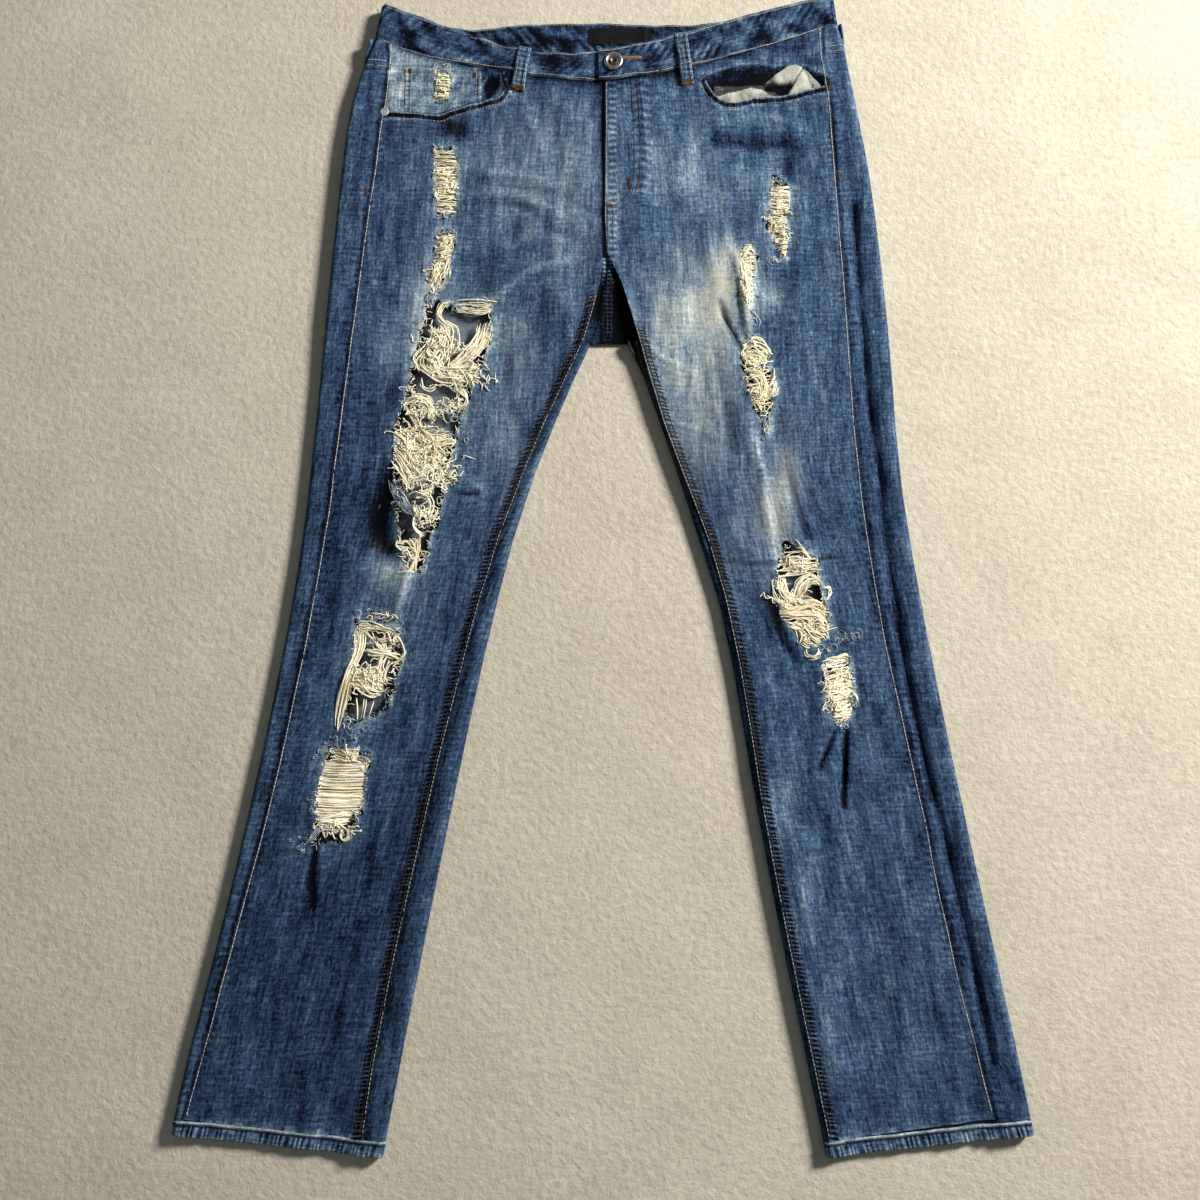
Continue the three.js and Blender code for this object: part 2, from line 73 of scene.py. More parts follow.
# Shader helpers: a wire is a socket that takes part in sums.
def tint(red, green, blue):  # a colour given as it looks on a screen, 0 to 255
    levels = [c / 255 for c in (red, green, blue)]
    return tuple(c / 12.92 if c < 0.04045 else ((c + 0.055) / 1.055) ** 2.4 for c in levels) + (1.0,)


class Wire:
    def __init__(self, tree, socket):
        self.tree, self.socket = tree, socket

    def node(self, kind, settings=None, inputs=None, output=0):
        made = self.tree.nodes.new(kind)
        for name, value in (settings or {}).items():
            if name == "stops":  # the stops of a colour ramp
                elements = made.color_ramp.elements
                while len(elements) < len(value):
                    elements.new(0.5)
                for element, (place, colour) in zip(elements, value):
                    element.position, element.color = place, colour
            else:
                setattr(made, name, value)
        for key, value in (inputs or {}).items():
            if isinstance(value, Wire):
                self.tree.links.new(value.socket, made.inputs[key])
            else:
                made.inputs[key].default_value = value
        return Wire(self.tree, made.outputs[output])

    def maths(self, operation, other=0.0, clamp=False):
        return self.node("ShaderNodeMath", {"operation": operation, "use_clamp": clamp},
                         {0: self, 1: other})

    def __add__(self, other):
        return self.maths("ADD", other)

    def __mul__(self, other):
        return self.maths("MULTIPLY", other)

    def __sub__(self, other):
        return self.maths("SUBTRACT", other)

    def __rsub__(self, other):
        return self * -1 + other

    __radd__, __rmul__ = __add__, __mul__

    def clamped(self):
        return self.maths("ADD", clamp=True)

    def between(self, low, high):  # 0 below low, 1 above high, with a soft step
        return self.node("ShaderNodeMapRange", {"interpolation_type": "SMOOTHSTEP"},
                         {"Value": self, "From Min": low, "From Max": high})

    def attribute(self, name):
        return self.node("ShaderNodeAttribute", {"attribute_name": name}, output=2)

    def cloth(self, across, along):  # the cloth's own coordinates, in features per millimetre
        uv = self.node("ShaderNodeUVMap", {"uv_map": "cloth"})
        return uv.node("ShaderNodeVectorMath", {"operation": "MULTIPLY"},
                       {0: uv, 1: (across / mm, along / mm, 1.0)})

    def grain(self, detail=2.0, rough=0.5, size=1.0):  # noise around zero at this vector
        made = self.node("ShaderNodeTexNoise", {}, {"Vector": self, "Scale": size, "Detail": detail,
                                                    "Roughness": rough})
        return made - 0.5

    def over(self, other, amount, blend="MIX"):  # this colour with another laid over it
        return self.node("ShaderNodeMix", {"data_type": "RGBA", "blend_type": blend},
                         {0: amount, 6: self, 7: other}, 2)

    def ramp(self, stops):
        return self.node("ShaderNodeValToRGB", {"stops": stops}, {"Fac": self})

    def bump(self, height, strength=1.0, depth=0.3):
        return self.node("ShaderNodeBump", {}, {"Height": height, "Strength": strength,
                                                "Distance": depth * mm})


def newFinish(name, **constants):  # a material, its Principled shader and a first wire
    material = bpy.data.materials.new(name)
    material.use_nodes = True
    shader = material.node_tree.nodes["Principled BSDF"]
    plug(shader, constants)
    return material, shader, Wire(material.node_tree, shader.outputs[0])


def plug(shader, links):  # sets sockets, or links wires to them
    for name, value in links.items():
        socket = shader.inputs[name.replace("_", " ")]
        if isinstance(value, Wire):
            value.tree.links.new(value.socket, socket)
        else:
            socket.default_value = value


# Reading the frame.
meshes = {}


def cadMesh(node):  # merged points and triangles of a CAD node
    if node not in meshes:
        mesh = frame["nodes"][node].data
        mesh.calc_loop_triangles()
        co = np.array([v.co for v in mesh.vertices]) / mm
        tri = np.array([t.vertices for t in mesh.loop_triangles])
        _, first, back = np.unique(np.round(co, 3), axis=0, return_index=True, return_inverse=True)
        meshes[node] = co[first], back.ravel()[tri]
    return meshes[node]


def planLoops(node):  # outline and holes of a node's upper face, longest first
    co, tri = cadMesh(node)
    a, b, c = (co[tri[:, i]] for i in range(3))
    normal = np.cross(b - a, c - a)
    upper = tri[normal[:, 2] > 0.5 * np.linalg.norm(normal, axis=1)]
    edges = {(t[i], t[(i + 1) % 3]) for t in upper.tolist() for i in range(3)}
    following = {s: e for s, e in sorted(edges) if (e, s) not in edges}
    loops = []
    while following:
        start, step = next(iter(following.items()))
        del following[start]
        loop = [start]
        while step != start:
            loop.append(step)
            step = following.pop(step)
        loops.append(co[loop][:, :2])
    return sorted(loops, key=lambda loop: -runs(loop, True)[-1])


def runs(path, closed=False):  # length along a path at each of its points
    ring = np.vstack([path, path[:1]]) if closed else path
    return np.concatenate([[0], np.cumsum(np.linalg.norm(np.diff(ring, axis=0), axis=1))])


def crossing(nodes, axis, at, low=-9.0, high=99.0):  # where nodes cross a line: ends on the other axis
    found = []
    for co, tri in map(cadMesh, nodes):
        for i in range(3):
            p, q = co[tri[:, i]], co[tri[:, (i + 1) % 3]]
            hit = ((p[:, axis] - at) * (q[:, axis] - at) <= 0) & (np.abs(p[:, axis] - q[:, axis]) > 1e-6)
            hit &= (np.minimum(p[:, 2], q[:, 2]) > low) & (np.maximum(p[:, 2], q[:, 2]) < high)
            p, q = p[hit], q[hit]
            share = (at - p[:, axis]) / (q[:, axis] - p[:, axis])
            found.append(p[:, 1 - axis] + share * (q[:, 1 - axis] - p[:, 1 - axis]))
    values = np.concatenate(found)
    return values.min(), values.max()


def evened(at, values, width=3):  # samples smoothed a little, as a function
    kernel = np.hanning(2 * width + 3)[1:-1]
    kernel /= kernel.sum()
    values = np.concatenate([2 * values[0] - values[width:0:-1], values,
                             2 * values[-1] - values[-2:-width - 2:-1]])
    even = np.convolve(values, kernel, "valid")
    return lambda y: np.interp(y, at, even)


def edgeOf(nodes, rows, end, width=3):  # one edge of some nodes, as x given by y
    return evened(rows, np.array([crossing(nodes, 1, y)[end] for y in rows]), width)


def step(value, low, high):  # 0 to 1 with soft ends
    t = np.clip((value - low) / (high - low), 0, 1)
    return t * t * (3 - 2 * t)


def spread(count):  # even steps from 0 to 1
    return np.linspace(0, 1, count)


def bell(value, width):  # 1 at zero, falling away over a width
    return np.exp(-(value / width) ** 2)


def patch(x, y, cx, cy, wide, tall):  # a soft spot: 1 at its centre
    return np.exp(-((x - cx) / wide) ** 2 - ((y - cy) / tall) ** 2)


def rounded(away, radius):  # 1 at an edge, down a quarter circle to 0 at the radius
    return 1 - np.sqrt(np.maximum(1 - (1 - np.minimum(away / radius, 1)) ** 2, 0))


def boxOf(node):  # a node's low and high corners, in mm
    return [np.array(corner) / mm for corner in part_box(node)]


centreX = sum(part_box("belt_loop_back_centre")[i].x for i in (0, 1)) / 2 / mm
legs = {"right": {"side": -1, "ticksFrom": 222}, "left": {"side": 1, "ticksFrom": 192}}
for name, leg in legs.items():
    far = 0 if leg["side"] < 0 else 1
    hemLow, hemHigh = (corner.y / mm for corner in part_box(f"hem_{name}"))
    leg["hemDepth"] = 12.2
    leg["hemInner"] = hemLow + leg["hemDepth"]  # the hem's top edge, at the inner side
    leg["hemOuter"] = hemHigh  # and at the outer side
    body = [f"{part}_{name}" for part in ("back_panel", "back_yoke", "hem")]
    front = [f"front_panel_{name}", f"pocket_facing_{name}"]
    leg["outer"] = edgeOf(body + ["waistband"], np.arange(hemHigh - 11, 488, 5.0), far)
    leg["inner"] = edgeOf(body, np.arange(hemLow + 2, 174, 4.0), 1 - far, 2)
    leg["outseam"] = edgeOf(front, np.arange(hemHigh + 3, 448, 5.0), far)
    leg["inseam"] = edgeOf(front[:1], np.arange(leg["hemInner"] + 2, 412, 4.0), 1 - far, 2)
foldY = crossing(["back_panel_right"], 0, centreX - 2)[0]  # the crotch fold, between the legs
print("frame read: crotch fold at", round(float(foldY)), "centre seams at", round(float(centreX), 1))


# The form that all the cloth follows.
form = {
    "wall": 1.0,  # one layer of denim
    "roll": 3.9,  # radius at which a leg turns over at its sides
    "sag": 3.2,  # how far the middle of a leg settles below its sides
    "sagOver": 22.0,
    "under": 0.6,  # middle of the under layer
    "seatLift": 1.5,  # what the back pockets hold the seat up
    "seatFrom": 135, "seatFull": 205,
}

# Creases of the upper layer: points, half widths on the left and right of the path, height, and wear with
# painted light (painted shade in troughs, whisker fade and painted highlight on ridges).
creases = [
    ([(-129, 301), (-86, 301), (-62, 293), (-41, 275), (-11, 264)], 5, 3, -1.5, -0.10),  # hip whiskers
    ([(-126, 308), (-86, 309), (-55, 301), (-30, 286)], 4, 4, 1.0, 0.12),
    ([(-126, 325), (-86, 318), (-36, 306), (-1, 292)], 5, 4, -1.1, -0.07),
    ([(-118, 333), (-80, 328), (-34, 318)], 6, 4, 0.8, 0.10),
    ([(-128, 247), (-102, 249), (-69, 258)], 3, 4, -1.2, -0.08),
    ([(-120, 262), (-90, 263), (-60, 270), (-30, 268)], 5, 5, 0.9, 0.08),
    ([(-100, 209), (-85, 220), (-61, 240), (-27, 250)], 4, 5, 1.8, 0.17),
    ([(-92, 208), (-74, 222), (-48, 238)], 3, 3, -1.1, -0.08),
    ([(-79, 409), (-64, 380), (-50, 344), (-44, 318)], 5, 5, 0.9, 0.08),
    ([(-42, 408), (-33, 360), (-28, 325)], 6, 4, 0.7, 0.07),
    ([(-152, 383), (-133, 371), (-118, 366)], 9, 8, -2.2, -0.16),  # under the coin pocket
    # beside the big rip
    ([(-176, 62), (-186, 36), (-190, 14), (-184, -6), (-172, -15)], 9, 7, -3.0, -0.42),
    ([(-193, 60), (-202, 30), (-200, 0)], 9, 6, 1.1, 0.02),
    ([(-129, 64), (-114, 52), (-100, 42)], 3, 4, 1.3, 0.16),
    ([(-124, 41), (-113, 40), (-104, 41)], 1.6, 1.6, -1.3, -0.45),
    ([(-160, -20), (-166, -40), (-174, -72)], 3, 3, 1.7, 0.20),  # above the knee
    ([(-152, -28), (-158, -50), (-165, -76)], 3, 3, -0.9, -0.06),
    ([(-233, -252), (-236, -275), (-234, -304)], 3, 3, -2.6, -0.5),  # below the knee
    ([(-222, -262), (-220, -300), (-226, -350)], 9, 6, 1.5, 0.06),
    ([(-252, -250), (-262, -310), (-272, -380)], 8, 8, 1.2, 0.05),
    ([(-196, -262), (-204, -330), (-214, -420)], 7, 9, -1.0, -0.03),
    ([(-272, -220), (-292, -330), (-312, -430)], 7, 10, -0.9, -0.02),
    ([(-150, 20), (-136, -60), (-150, -150)], 12, 10, 1.2, 0.03),
    ([(79, 350), (92, 366), (116, 378), (150, 381), (182, 372)], 6, 5, 1.5, 0.10),  # under the left mouth
    ([(104, 361), (135, 358), (168, 357), (170, 344), (165, 331)], 9, 7, -2.2, -0.30),
    ([(60, 318), (90, 330), (124, 327), (150, 322)], 8, 7, 1.1, 0.05),
    ([(58, 280), (96, 276), (130, 287), (150, 283)], 6, 5, -0.9, -0.03),
    # the fold at the rip
    ([(112, 262), (118, 250), (122, 223), (127, 186), (131, 170)], 8, 1.8, 2.7, 0.26),
    ([(103, 212), (108, 194), (115, 180), (123, 167)], 2.4, 2.4, -2.4, -0.5),
    ([(34, 177), (55, 158), (77, 149)], 2.5, 2, 0.9, 0.14),
    ([(57, 104), (85, 95), (104, 91)], 2.5, 2, 0.9, 0.12),
    ([(99, 150), (104, 120), (110, 86)], 5, 4, -1.7, -0.12),
    ([(92, 168), (98, 128), (102, 84), (110, 50)], 4, 4, 0.9, 0.03),
    ([(131, 92), (136, 70), (140, 51), (143, 18), (149, -14)], 3.4, 7, 1.8, 0.25),  # to the knee
    ([(160, 62), (164, 40), (169, 22), (176, 2)], 4, 3, -1.6, -0.22),
    ([(105, -18), (128, -21), (150, -19)], 2, 2, -1.0, -0.25),
    ([(180, -17), (196, -14)], 2, 2.6, -1.2, -0.3),
    ([(140, -48), (145, -62), (152, -84), (165, -104)], 5, 4, -1.9, -0.34),
    ([(205, -157), (202, -185), (200, -222)], 2.0, 2.2, -3.4, -0.9),  # slits below the rip
    ([(196, -160), (188, -176), (181, -192)], 1.4, 2.4, -1.7, -0.5),
    ([(218, -150), (216, -200), (222, -260)], 8, 6, 1.0, 0.04),
    ([(223, 300), (226, 214), (231, 130), (238, 53), (247, -50), (264, -168), (292, -297), (313, -425)],
     3.2, 3.6, -3.1, -0.26),  # beside the outseam
    ([(150, -210), (168, -320), (190, -430)], 9, 9, 1.1, 0.09),
    ([(196, -240), (216, -340), (232, -440)], 10, 8, -0.8, -0.02),
    ([(236, -260), (250, -340), (262, -430)], 9, 9, 0.8, 0.03),
    ([(-232, 390), (-236, 330), (-244, 240), (-252, 120)], 4, 5, 0.8, 0.04),
    ([(-224, 352), (-217, 300), (-224, 180)], 3, 3, -0.9, -0.05),
]

# Fades, stains and painted light of the upper layer: centre, half sizes across and along, lean, wear,
# warmth. Wear below zero is mostly painted shade beside folds; some spots above zero are painted highlights
# on raised folds.
fadesAndShading = [
    (-100, 320, 130, 150, 0.0, 0.07, 0.0), (100, 330, 130, 150, 0.0, 0.12, 0.0),
    (200, -330, 110, 200, 0.1, 0.04, 0.0), (-240, -330, 120, 170, 0.1, -0.03, 0.0),
    (-60, 330, 56, 62, 0.0, 0.13, 0.10), (-22, 280, 26, 70, 0.0, 0.12, 0.05),
    (-150, 222, 16, 24, 0.1, 0.36, 0.10), (-165, 175, 22, 34, 0.2, 0.30, 0.08),
    (-196, 200, 26, 90, 0.1, 0.10, 0.0), (-72, 165, 22, 46, -0.2, 0.13, 0.10),
    (-88, 90, 26, 56, -0.2, 0.22, 0.08), (-184, -24, 18, 18, 0.0, 0.42, 0.10),
    (-170, -50, 22, 30, 0.2, 0.20, 0.05), (-112, 12, 20, 60, -0.2, 0.08, 0.0),
    (-205, -120, 30, 60, 0.15, 0.10, 0.0), (-220, -215, 34, 40, 0.15, 0.06, 0.0),
    (-133, 372, 13, 11, 0.0, -0.34, 0.0), (-176, 128, 9, 24, 0.1, -0.26, 0.0),
    (-186, 30, 12, 38, 0.12, -0.40, 0.0), (-222, 20, 26, 200, 0.15, -0.08, 0.0),
    (-215, -330, 60, 130, 0.2, -0.07, 0.0), (62, 345, 26, 40, 0.0, 0.08, 0.0),
    (86, 318, 32, 26, 0.0, 0.16, 0.0), (62, 178, 38, 60, 0.25, 0.30, 0.16),
    (84, 210, 34, 40, 0.15, 0.22, 0.30), (106, 220, 12, 34, 0.1, 0.42, 0.85),
    (92, 120, 22, 60, 0.15, 0.24, 0.40), (64, 120, 24, 60, 0.2, 0.14, 0.06),
    (148, 217, 13, 15, 0.0, 0.34, 0.10), (165, 236, 12, 22, 0.0, -0.26, 0.0),
    (152, 36, 15, 46, 0.18, 0.36, 0.55), (120, 30, 16, 60, 0.15, 0.12, 0.10),
    (146, -62, 9, 20, 0.2, -0.26, 0.0), (190, 130, 50, 160, 0.1, 0.09, 0.0),
    (176, -330, 32, 120, 0.2, 0.05, 0.0), (240, -420, 60, 50, 0.1, 0.03, 0.0),
    (150, -200, 14, 60, 0.2, 0.10, 0.0), (190, 430, 30, 16, 0.2, 0.05, 0.0),
]


def nearest(x, y, path):  # distance, side (1 on the left) and run to a path
    off = np.full(len(x), 1e9)
    side, along = np.ones(len(x)), np.zeros(len(x))
    for (ax, ay), (bx, by), start in zip(path[:-1], path[1:], runs(path)):
        dx, dy = bx - ax, by - ay
        size = math.hypot(dx, dy)
        t = np.clip(((x - ax) * dx + (y - ay) * dy) / size ** 2, 0, 1)
        ex, ey = x - ax - t * dx, y - ay - t * dy
        away = np.hypot(ex, ey)
        closer = away < off
        off[closer] = away[closer]
        side[closer] = np.sign(dx * ey - dy * ex)[closer]
        along[closer] = (start + t * size)[closer]
    return off, side, along


def smoothPath(points, gap=4.0):  # a curve through given points, at even steps
    p = np.array(points, float)
    ends = np.vstack([2 * p[0] - p[1], p, 2 * p[-1] - p[-2]])
    parts = []
    for a, b, c, d in zip(ends, ends[1:], ends[2:], ends[3:]):
        t = np.linspace(0, 1, max(2, int(np.linalg.norm(c - b) / gap)), endpoint=False)[:, None]
        parts.append(0.5 * (2 * b + (c - a) * t + (2 * a - 5 * b + 4 * c - d) * t ** 2
                            + (3 * b - a - 3 * c + d) * t ** 3))
    return np.vstack([*parts, p[-1:]])


def waves(x, y, size, seed, stretch=1.0, count=10):  # soft random swells, about -1 to 1
    dice = np.random.default_rng(seed)
    total = np.zeros(len(x))
    for _ in range(count):
        angle, phase = dice.uniform(0, 2 * math.pi, 2)
        pitch = 2 * math.pi / (size * dice.uniform(0.7, 1.5))
        total += np.sin(x * math.cos(angle) * pitch + y * math.sin(angle) * pitch / stretch + phase)
    return total / math.sqrt(count / 2) / 1.6


creasePaths = [(smoothPath(points), *rest) for points, *rest in creases]
creaseBoxes = [(p.min(0) - 40, p.max(0) + 40) for p, *_ in creasePaths]

legAxis = {name: (lambda y, leg=leg: (leg["outer"](y) + leg["inner"](np.minimum(y, 60))) / 2)
           for name, leg in legs.items()}
edgeRows = np.arange(-496.0, 500, 6)
innerRows = np.arange(-496.0, 160, 6)
recess = [(-12, 165), (-8, 178), (-4, 200), (1, 225), (6, 246), (13, 232), (19, 212), (24, 192), (25, 176),
          (31, 160)]
edgePaths = [stack([legs[name]["outer"](edgeRows), edgeRows]) for name in legs]
edgePaths.append(np.vstack([
    stack([legs["right"]["inner"](innerRows), innerRows]), recess,
    stack([legs["left"]["inner"](innerRows), innerRows])[::-1]]))
flyEdge = np.array([(centreX - 0.8, y) for y in (430, 340, 252)])
flyWidth = 36


def edgeDistance(x, y):
    return np.min([nearest(x, y, path)[0] for path in edgePaths], axis=0)


def seatRise(y):
    return form["seatLift"] * step(y, form["seatFrom"], form["seatFull"])


def creasesNear(x, y):  # for each crease in reach: the points near it, and where they lie
    for (path, *rest), (low, high) in zip(creasePaths, creaseBoxes):
        near = (x > low[0]) & (x < high[0]) & (y > low[1]) & (y < high[1])
        if near.any():
            yield near, *nearest(x[near], y[near], path), runs(path)[-1], *rest


def topHeight(x, y):  # middle of the upper layer
    x, y = np.asarray(x, float), np.asarray(y, float)
    away = np.maximum(edgeDistance(x, y) - form["wall"] / 2, 0)
    roll = form["roll"]
    arc = np.sqrt(np.maximum(1 - np.maximum(1 - away / roll, 0) ** 2, 0))
    height = form["under"] + seatRise(y) + roll * (1 + arc)
    height -= form["sag"] * (1 - np.exp(-np.maximum(away - roll, 0) / form["sagOver"]))
    right = x < centreX
    lean = np.where(right, legAxis["right"](y), legAxis["left"](y))
    swell = 0.75 * waves(x - lean, y, 34, 3, 2.4) + 0.4 * waves(x - lean, y, 15, 4, 2.0)
    swell += 0.8 * waves(x, y, 80, 5)
    for near, off, side, along, length, wideLeft, wideRight, rise, _ in creasesNear(x, y):
        ends = step(along, 0, 0.25 * length) * step(length - along, 0, 0.25 * length)
        ends = np.where(length > 600, 1, 0.25 + 0.75 * ends)
        swell[near] += rise * ends * bell(off, np.where(side > 0, wideLeft, wideRight))
    return height + swell * step(away, 0.5, 11)


def shade(x, y):  # wear, warmth, and painted light and shade of the upper layer's cloth
    wear, warm = np.zeros(len(x)), np.zeros(len(x))
    for cx, cy, wide, tall, lean, amount, warmth in fadesAndShading:
        dx, dy = x - cx, y - cy
        across = (dx - lean * dy) / wide
        spot = np.exp(-across ** 2 - (dy / tall) ** 2)
        wear += amount * spot
        warm += warmth * spot
    # crease troughs get painted shade, crease ridges whisker fade with a painted highlight
    for near, off, side, _, _, wideLeft, wideRight, _, amount in creasesNear(x, y):
        wear[near] += amount * bell(off, 0.9 * np.where(side > 0, wideLeft, wideRight))
    away = edgeDistance(x, y)
    wear += 0.045 * waves(x, y, 26, 8, 4.0) + 0.02 * waves(x, y, 9, 9, 3.0)
    wear += 0.07 * bell(away - 4, 4)
    return wear, warm


# Meshes.
cloths = {}  # every cloth piece, by name


def piece(name, points, faces, finish, uv=None, paint=None, sharp=50):
    faces = faces if isinstance(faces, list) else [faces]
    mesh = bpy.data.meshes.new(name)
    loops = np.concatenate([f.ravel() for f in faces]).astype(np.int32)
    sizes = np.concatenate([np.full(len(f), f.shape[1]) for f in faces]).astype(np.int32)
    mesh.vertices.add(len(points))
    mesh.vertices.foreach_set("co", (np.asarray(points, np.float32) * mm).ravel())
    mesh.loops.add(len(loops))
    mesh.loops.foreach_set("vertex_index", loops)
    mesh.polygons.add(len(sizes))
    mesh.polygons.foreach_set("loop_start", np.concatenate([[0], np.cumsum(sizes)[:-1]]).astype(np.int32))
    mesh.polygons.foreach_set("use_smooth", np.ones(len(sizes), bool))
    if uv is not None:
        layer = mesh.uv_layers.new(name="cloth")
        layer.data.foreach_set("uv", (np.asarray(uv, np.float32)[loops] * mm).ravel())
    for key, values in (paint or {}).items():
        mesh.attributes.new(key, "FLOAT", "POINT").data.foreach_set("value", np.asarray(values, np.float32))
    mesh.update(calc_edges=True)
    mesh.validate()
    if sharp:
        mesh.set_sharp_from_angle(angle=math.radians(sharp))
    mesh.materials.append(finish)
    made = bpy.data.objects.new(name, mesh)
    bpy.context.scene.collection.objects.link(made)
    return made


def vertexNormals(points, faces):
    normals = np.zeros_like(points)
    for f in faces if isinstance(faces, list) else [faces]:
        a, b, c = points[f[:, 0]], points[f[:, 1]], points[f[:, -1]]
        flat = np.cross(b - a, c - a)
        for i in range(f.shape[1]):
            np.add.at(normals, f[:, i], flat)
    return normals / np.maximum(np.linalg.norm(normals, axis=1, keepdims=True), 1e-9)


# the wear paint holds real fades together with painted shade in creases and painted highlights on ridges;
# the dark paint holds seam lines and painted shade
paintNames = ("wear", "dark", "warm", "inside", "pucker", "phase")


def painted(count, **given):  # every paint a denim piece carries, zero where not given
    return {key: np.broadcast_to(np.asarray(given.get(key, 0.0), float), (count,)) for key in paintNames}


def clothPiece(node, points, faces, finish, uv, paint):  # a piece of cloth, in the place of its node
    made = cloths[node] = piece(f"{node}_cloth", points, faces, finishes[finish], uv, paint)
    return belong(made, finish, *([node] if node in frame["nodes"] else []))


# cloth: a surface given its thickness
def shell(node, points, faces, finish, uv, paint, wall=None, paintedShade=0.0):
    wall = wall or form["wall"]
    normals = vertexNormals(points, faces)
    count = len(points)
    both = np.vstack([points + normals * wall / 2, points - normals * wall / 2])
    edges = {}
    for a, b in zip(faces.ravel(), np.roll(faces, -1, axis=1).ravel()):
        edges[(a, b)] = True
    rim = np.array([(a, b) for a, b in edges if (b, a) not in edges])
    sides = stack([rim[:, 1], rim[:, 0], rim[:, 0] + count, rim[:, 1] + count])
    paint = {key: np.concatenate([value, value]) for key, value in paint.items()}
    paint["inside"][count:] = 1
    # painted shade, added on the inner skin only
    paint["dark"][count:] += paintedShade
    return clothPiece(node, both, [faces, faces[:, ::-1] + count, sides], finish, np.vstack([uv, uv]),
                      paint)


def gridFaces(rows, columns, ring=False):
    index = np.arange(rows * columns).reshape(rows, columns)
    if ring:
        index = stack([index, index[:, 0]])
    quads = np.stack([index[:-1, :-1], index[:-1, 1:], index[1:, 1:], index[1:, :-1]], axis=-1)
    return quads.reshape(-1, 4)


def ribbon(node, first, second, facing, thick, finish, rows=8, closed=False, wrinkle=None, paint=None):
    # a closed strip of cloth between two edges, with rounded sides; facing is its outer face's direction
    share = (1 - np.cos(np.linspace(0, math.pi, rows + 1))) / 2 * 0.35 + spread(rows + 1) * 0.65
    width = np.linalg.norm(second - first, axis=1).mean()
    away = np.minimum(share, 1 - share) * width
    height = thick / 2 * np.sqrt(1 - np.maximum(1 - away / (0.6 * thick), 0) ** 2)
    upper = first[:, None] + (second - first)[:, None] * share[None, :, None]
    if wrinkle is not None:
        lift = wrinkle(upper[..., 0].ravel(), upper[..., 1].ravel()).reshape(upper.shape[:2])
        upper = upper + facing[:, None] * lift[..., None]
    out = facing[:, None] * height[None, :, None]
    section = np.concatenate([upper + out, (upper - out)[:, -2:0:-1]], axis=1)
    count = section.shape[1]
    along = runs((first + second) / 2)
    across = np.concatenate([share, share[-2:0:-1]]) * width
    uv = np.stack(np.broadcast_arrays(across[None, :], along[:, None]), axis=-1).reshape(-1, 2)
    points = section.reshape(-1, 3)
    body = np.vstack([section, section[:1]]) if closed else section
    faces = gridFaces(len(body), count, ring=True)
    if closed:
        faces = faces % len(points)
        ends = []
    else:
        half = np.arange(rows)
        start = stack([half, half + 1, (count - half - 1) % count, (count - half) % count])[1:-1]
        tips = [np.array([[0, 1, count - 1]]), np.array([[rows - 1, rows, rows + 1]])]
        last = len(points) - count
        ends = [start[:, ::-1], *[t[:, ::-1] for t in tips], start + last, *[t + last for t in tips]]
    given = paint(points[:, 0], points[:, 1], uv) if paint else {}
    inner = np.tile(np.arange(count) > rows, len(section)).astype(float)
    given = {"inside": inner * given.pop("lining", 0), **given}
    faces = [faces, *ends]
    corners = [[points[f[:, i]] for i in (0, 1, -1)] for f in faces[:1]]
    if sum(np.einsum("ij,ij->", a, np.cross(b, c)) for a, b, c in corners) < 0:
        faces = [f[:, ::-1] for f in faces]
    return clothPiece(node, points, faces, finish, uv, painted(len(points), **given))


def tubes(name, lines, radius, finish, sides=5, taper=1.0, shades=None, warms=None):
    # many threads or stitches as one mesh: lines is (threads, points, 3)
    lines = np.asarray(lines, float)
    count, steps = lines.shape[:2]
    radius = np.broadcast_to(np.asarray(radius, float).reshape(-1, 1), (count, steps)) * taper
    heading = np.gradient(lines, axis=1)
    heading /= np.maximum(np.linalg.norm(heading, axis=2, keepdims=True), 1e-9)
    across = np.cross(heading, (0.05, 0.02, 1.0))
    across /= np.maximum(np.linalg.norm(across, axis=2, keepdims=True), 1e-9)
    upward = np.cross(across, heading)
    turn = np.arange(sides) / sides * 2 * math.pi
    ring = (across[:, :, None] * np.cos(turn)[:, None] + upward[:, :, None] * np.sin(turn)[:, None])
    points = (lines[:, :, None] + ring * radius[:, :, None, None]).reshape(-1, 3)
    wall = gridFaces(steps, sides, ring=True)
    shift = (np.arange(count) * steps * sides)[:, None, None]
    faces = [(wall[None] + shift).reshape(-1, 4)]
    cap = np.arange(sides)[None]
    faces += [(cap + shift[:, :, 0]).reshape(-1, sides),
              (cap[:, ::-1] + (steps - 1) * sides + shift[:, :, 0])]
    shades = rng.uniform(0, 1, count) if shades is None else shades
    warms = np.zeros(count) if warms is None else warms
    paint = {"shade": np.repeat(shades, steps * sides), "warm": np.repeat(warms, steps * sides)}
    return piece(name, points, faces, finish, None, paint, sharp=0)


# Finishes.
denimLook = {
    "base": 0.335,  # tone of unworn cloth on the ramp below
    "wear": 0.85, "dark": 0.75, "streak": 0.76, "slub": 0.30, "weft": 0.62, "speck": 1.25, "mottle": 0.26,
    "stops": [(0.0, tint(3, 5, 9)), (0.11, tint(13, 20, 34)), (0.22, tint(28, 44, 68)),
              (0.42, tint(55, 79, 108)), (0.62, tint(97, 121, 142)), (0.8, tint(150, 165, 172)),
              (1.0, tint(208, 212, 205))],
    "beige": tint(172, 167, 148),
    "lining": tint(120, 127, 132),
}


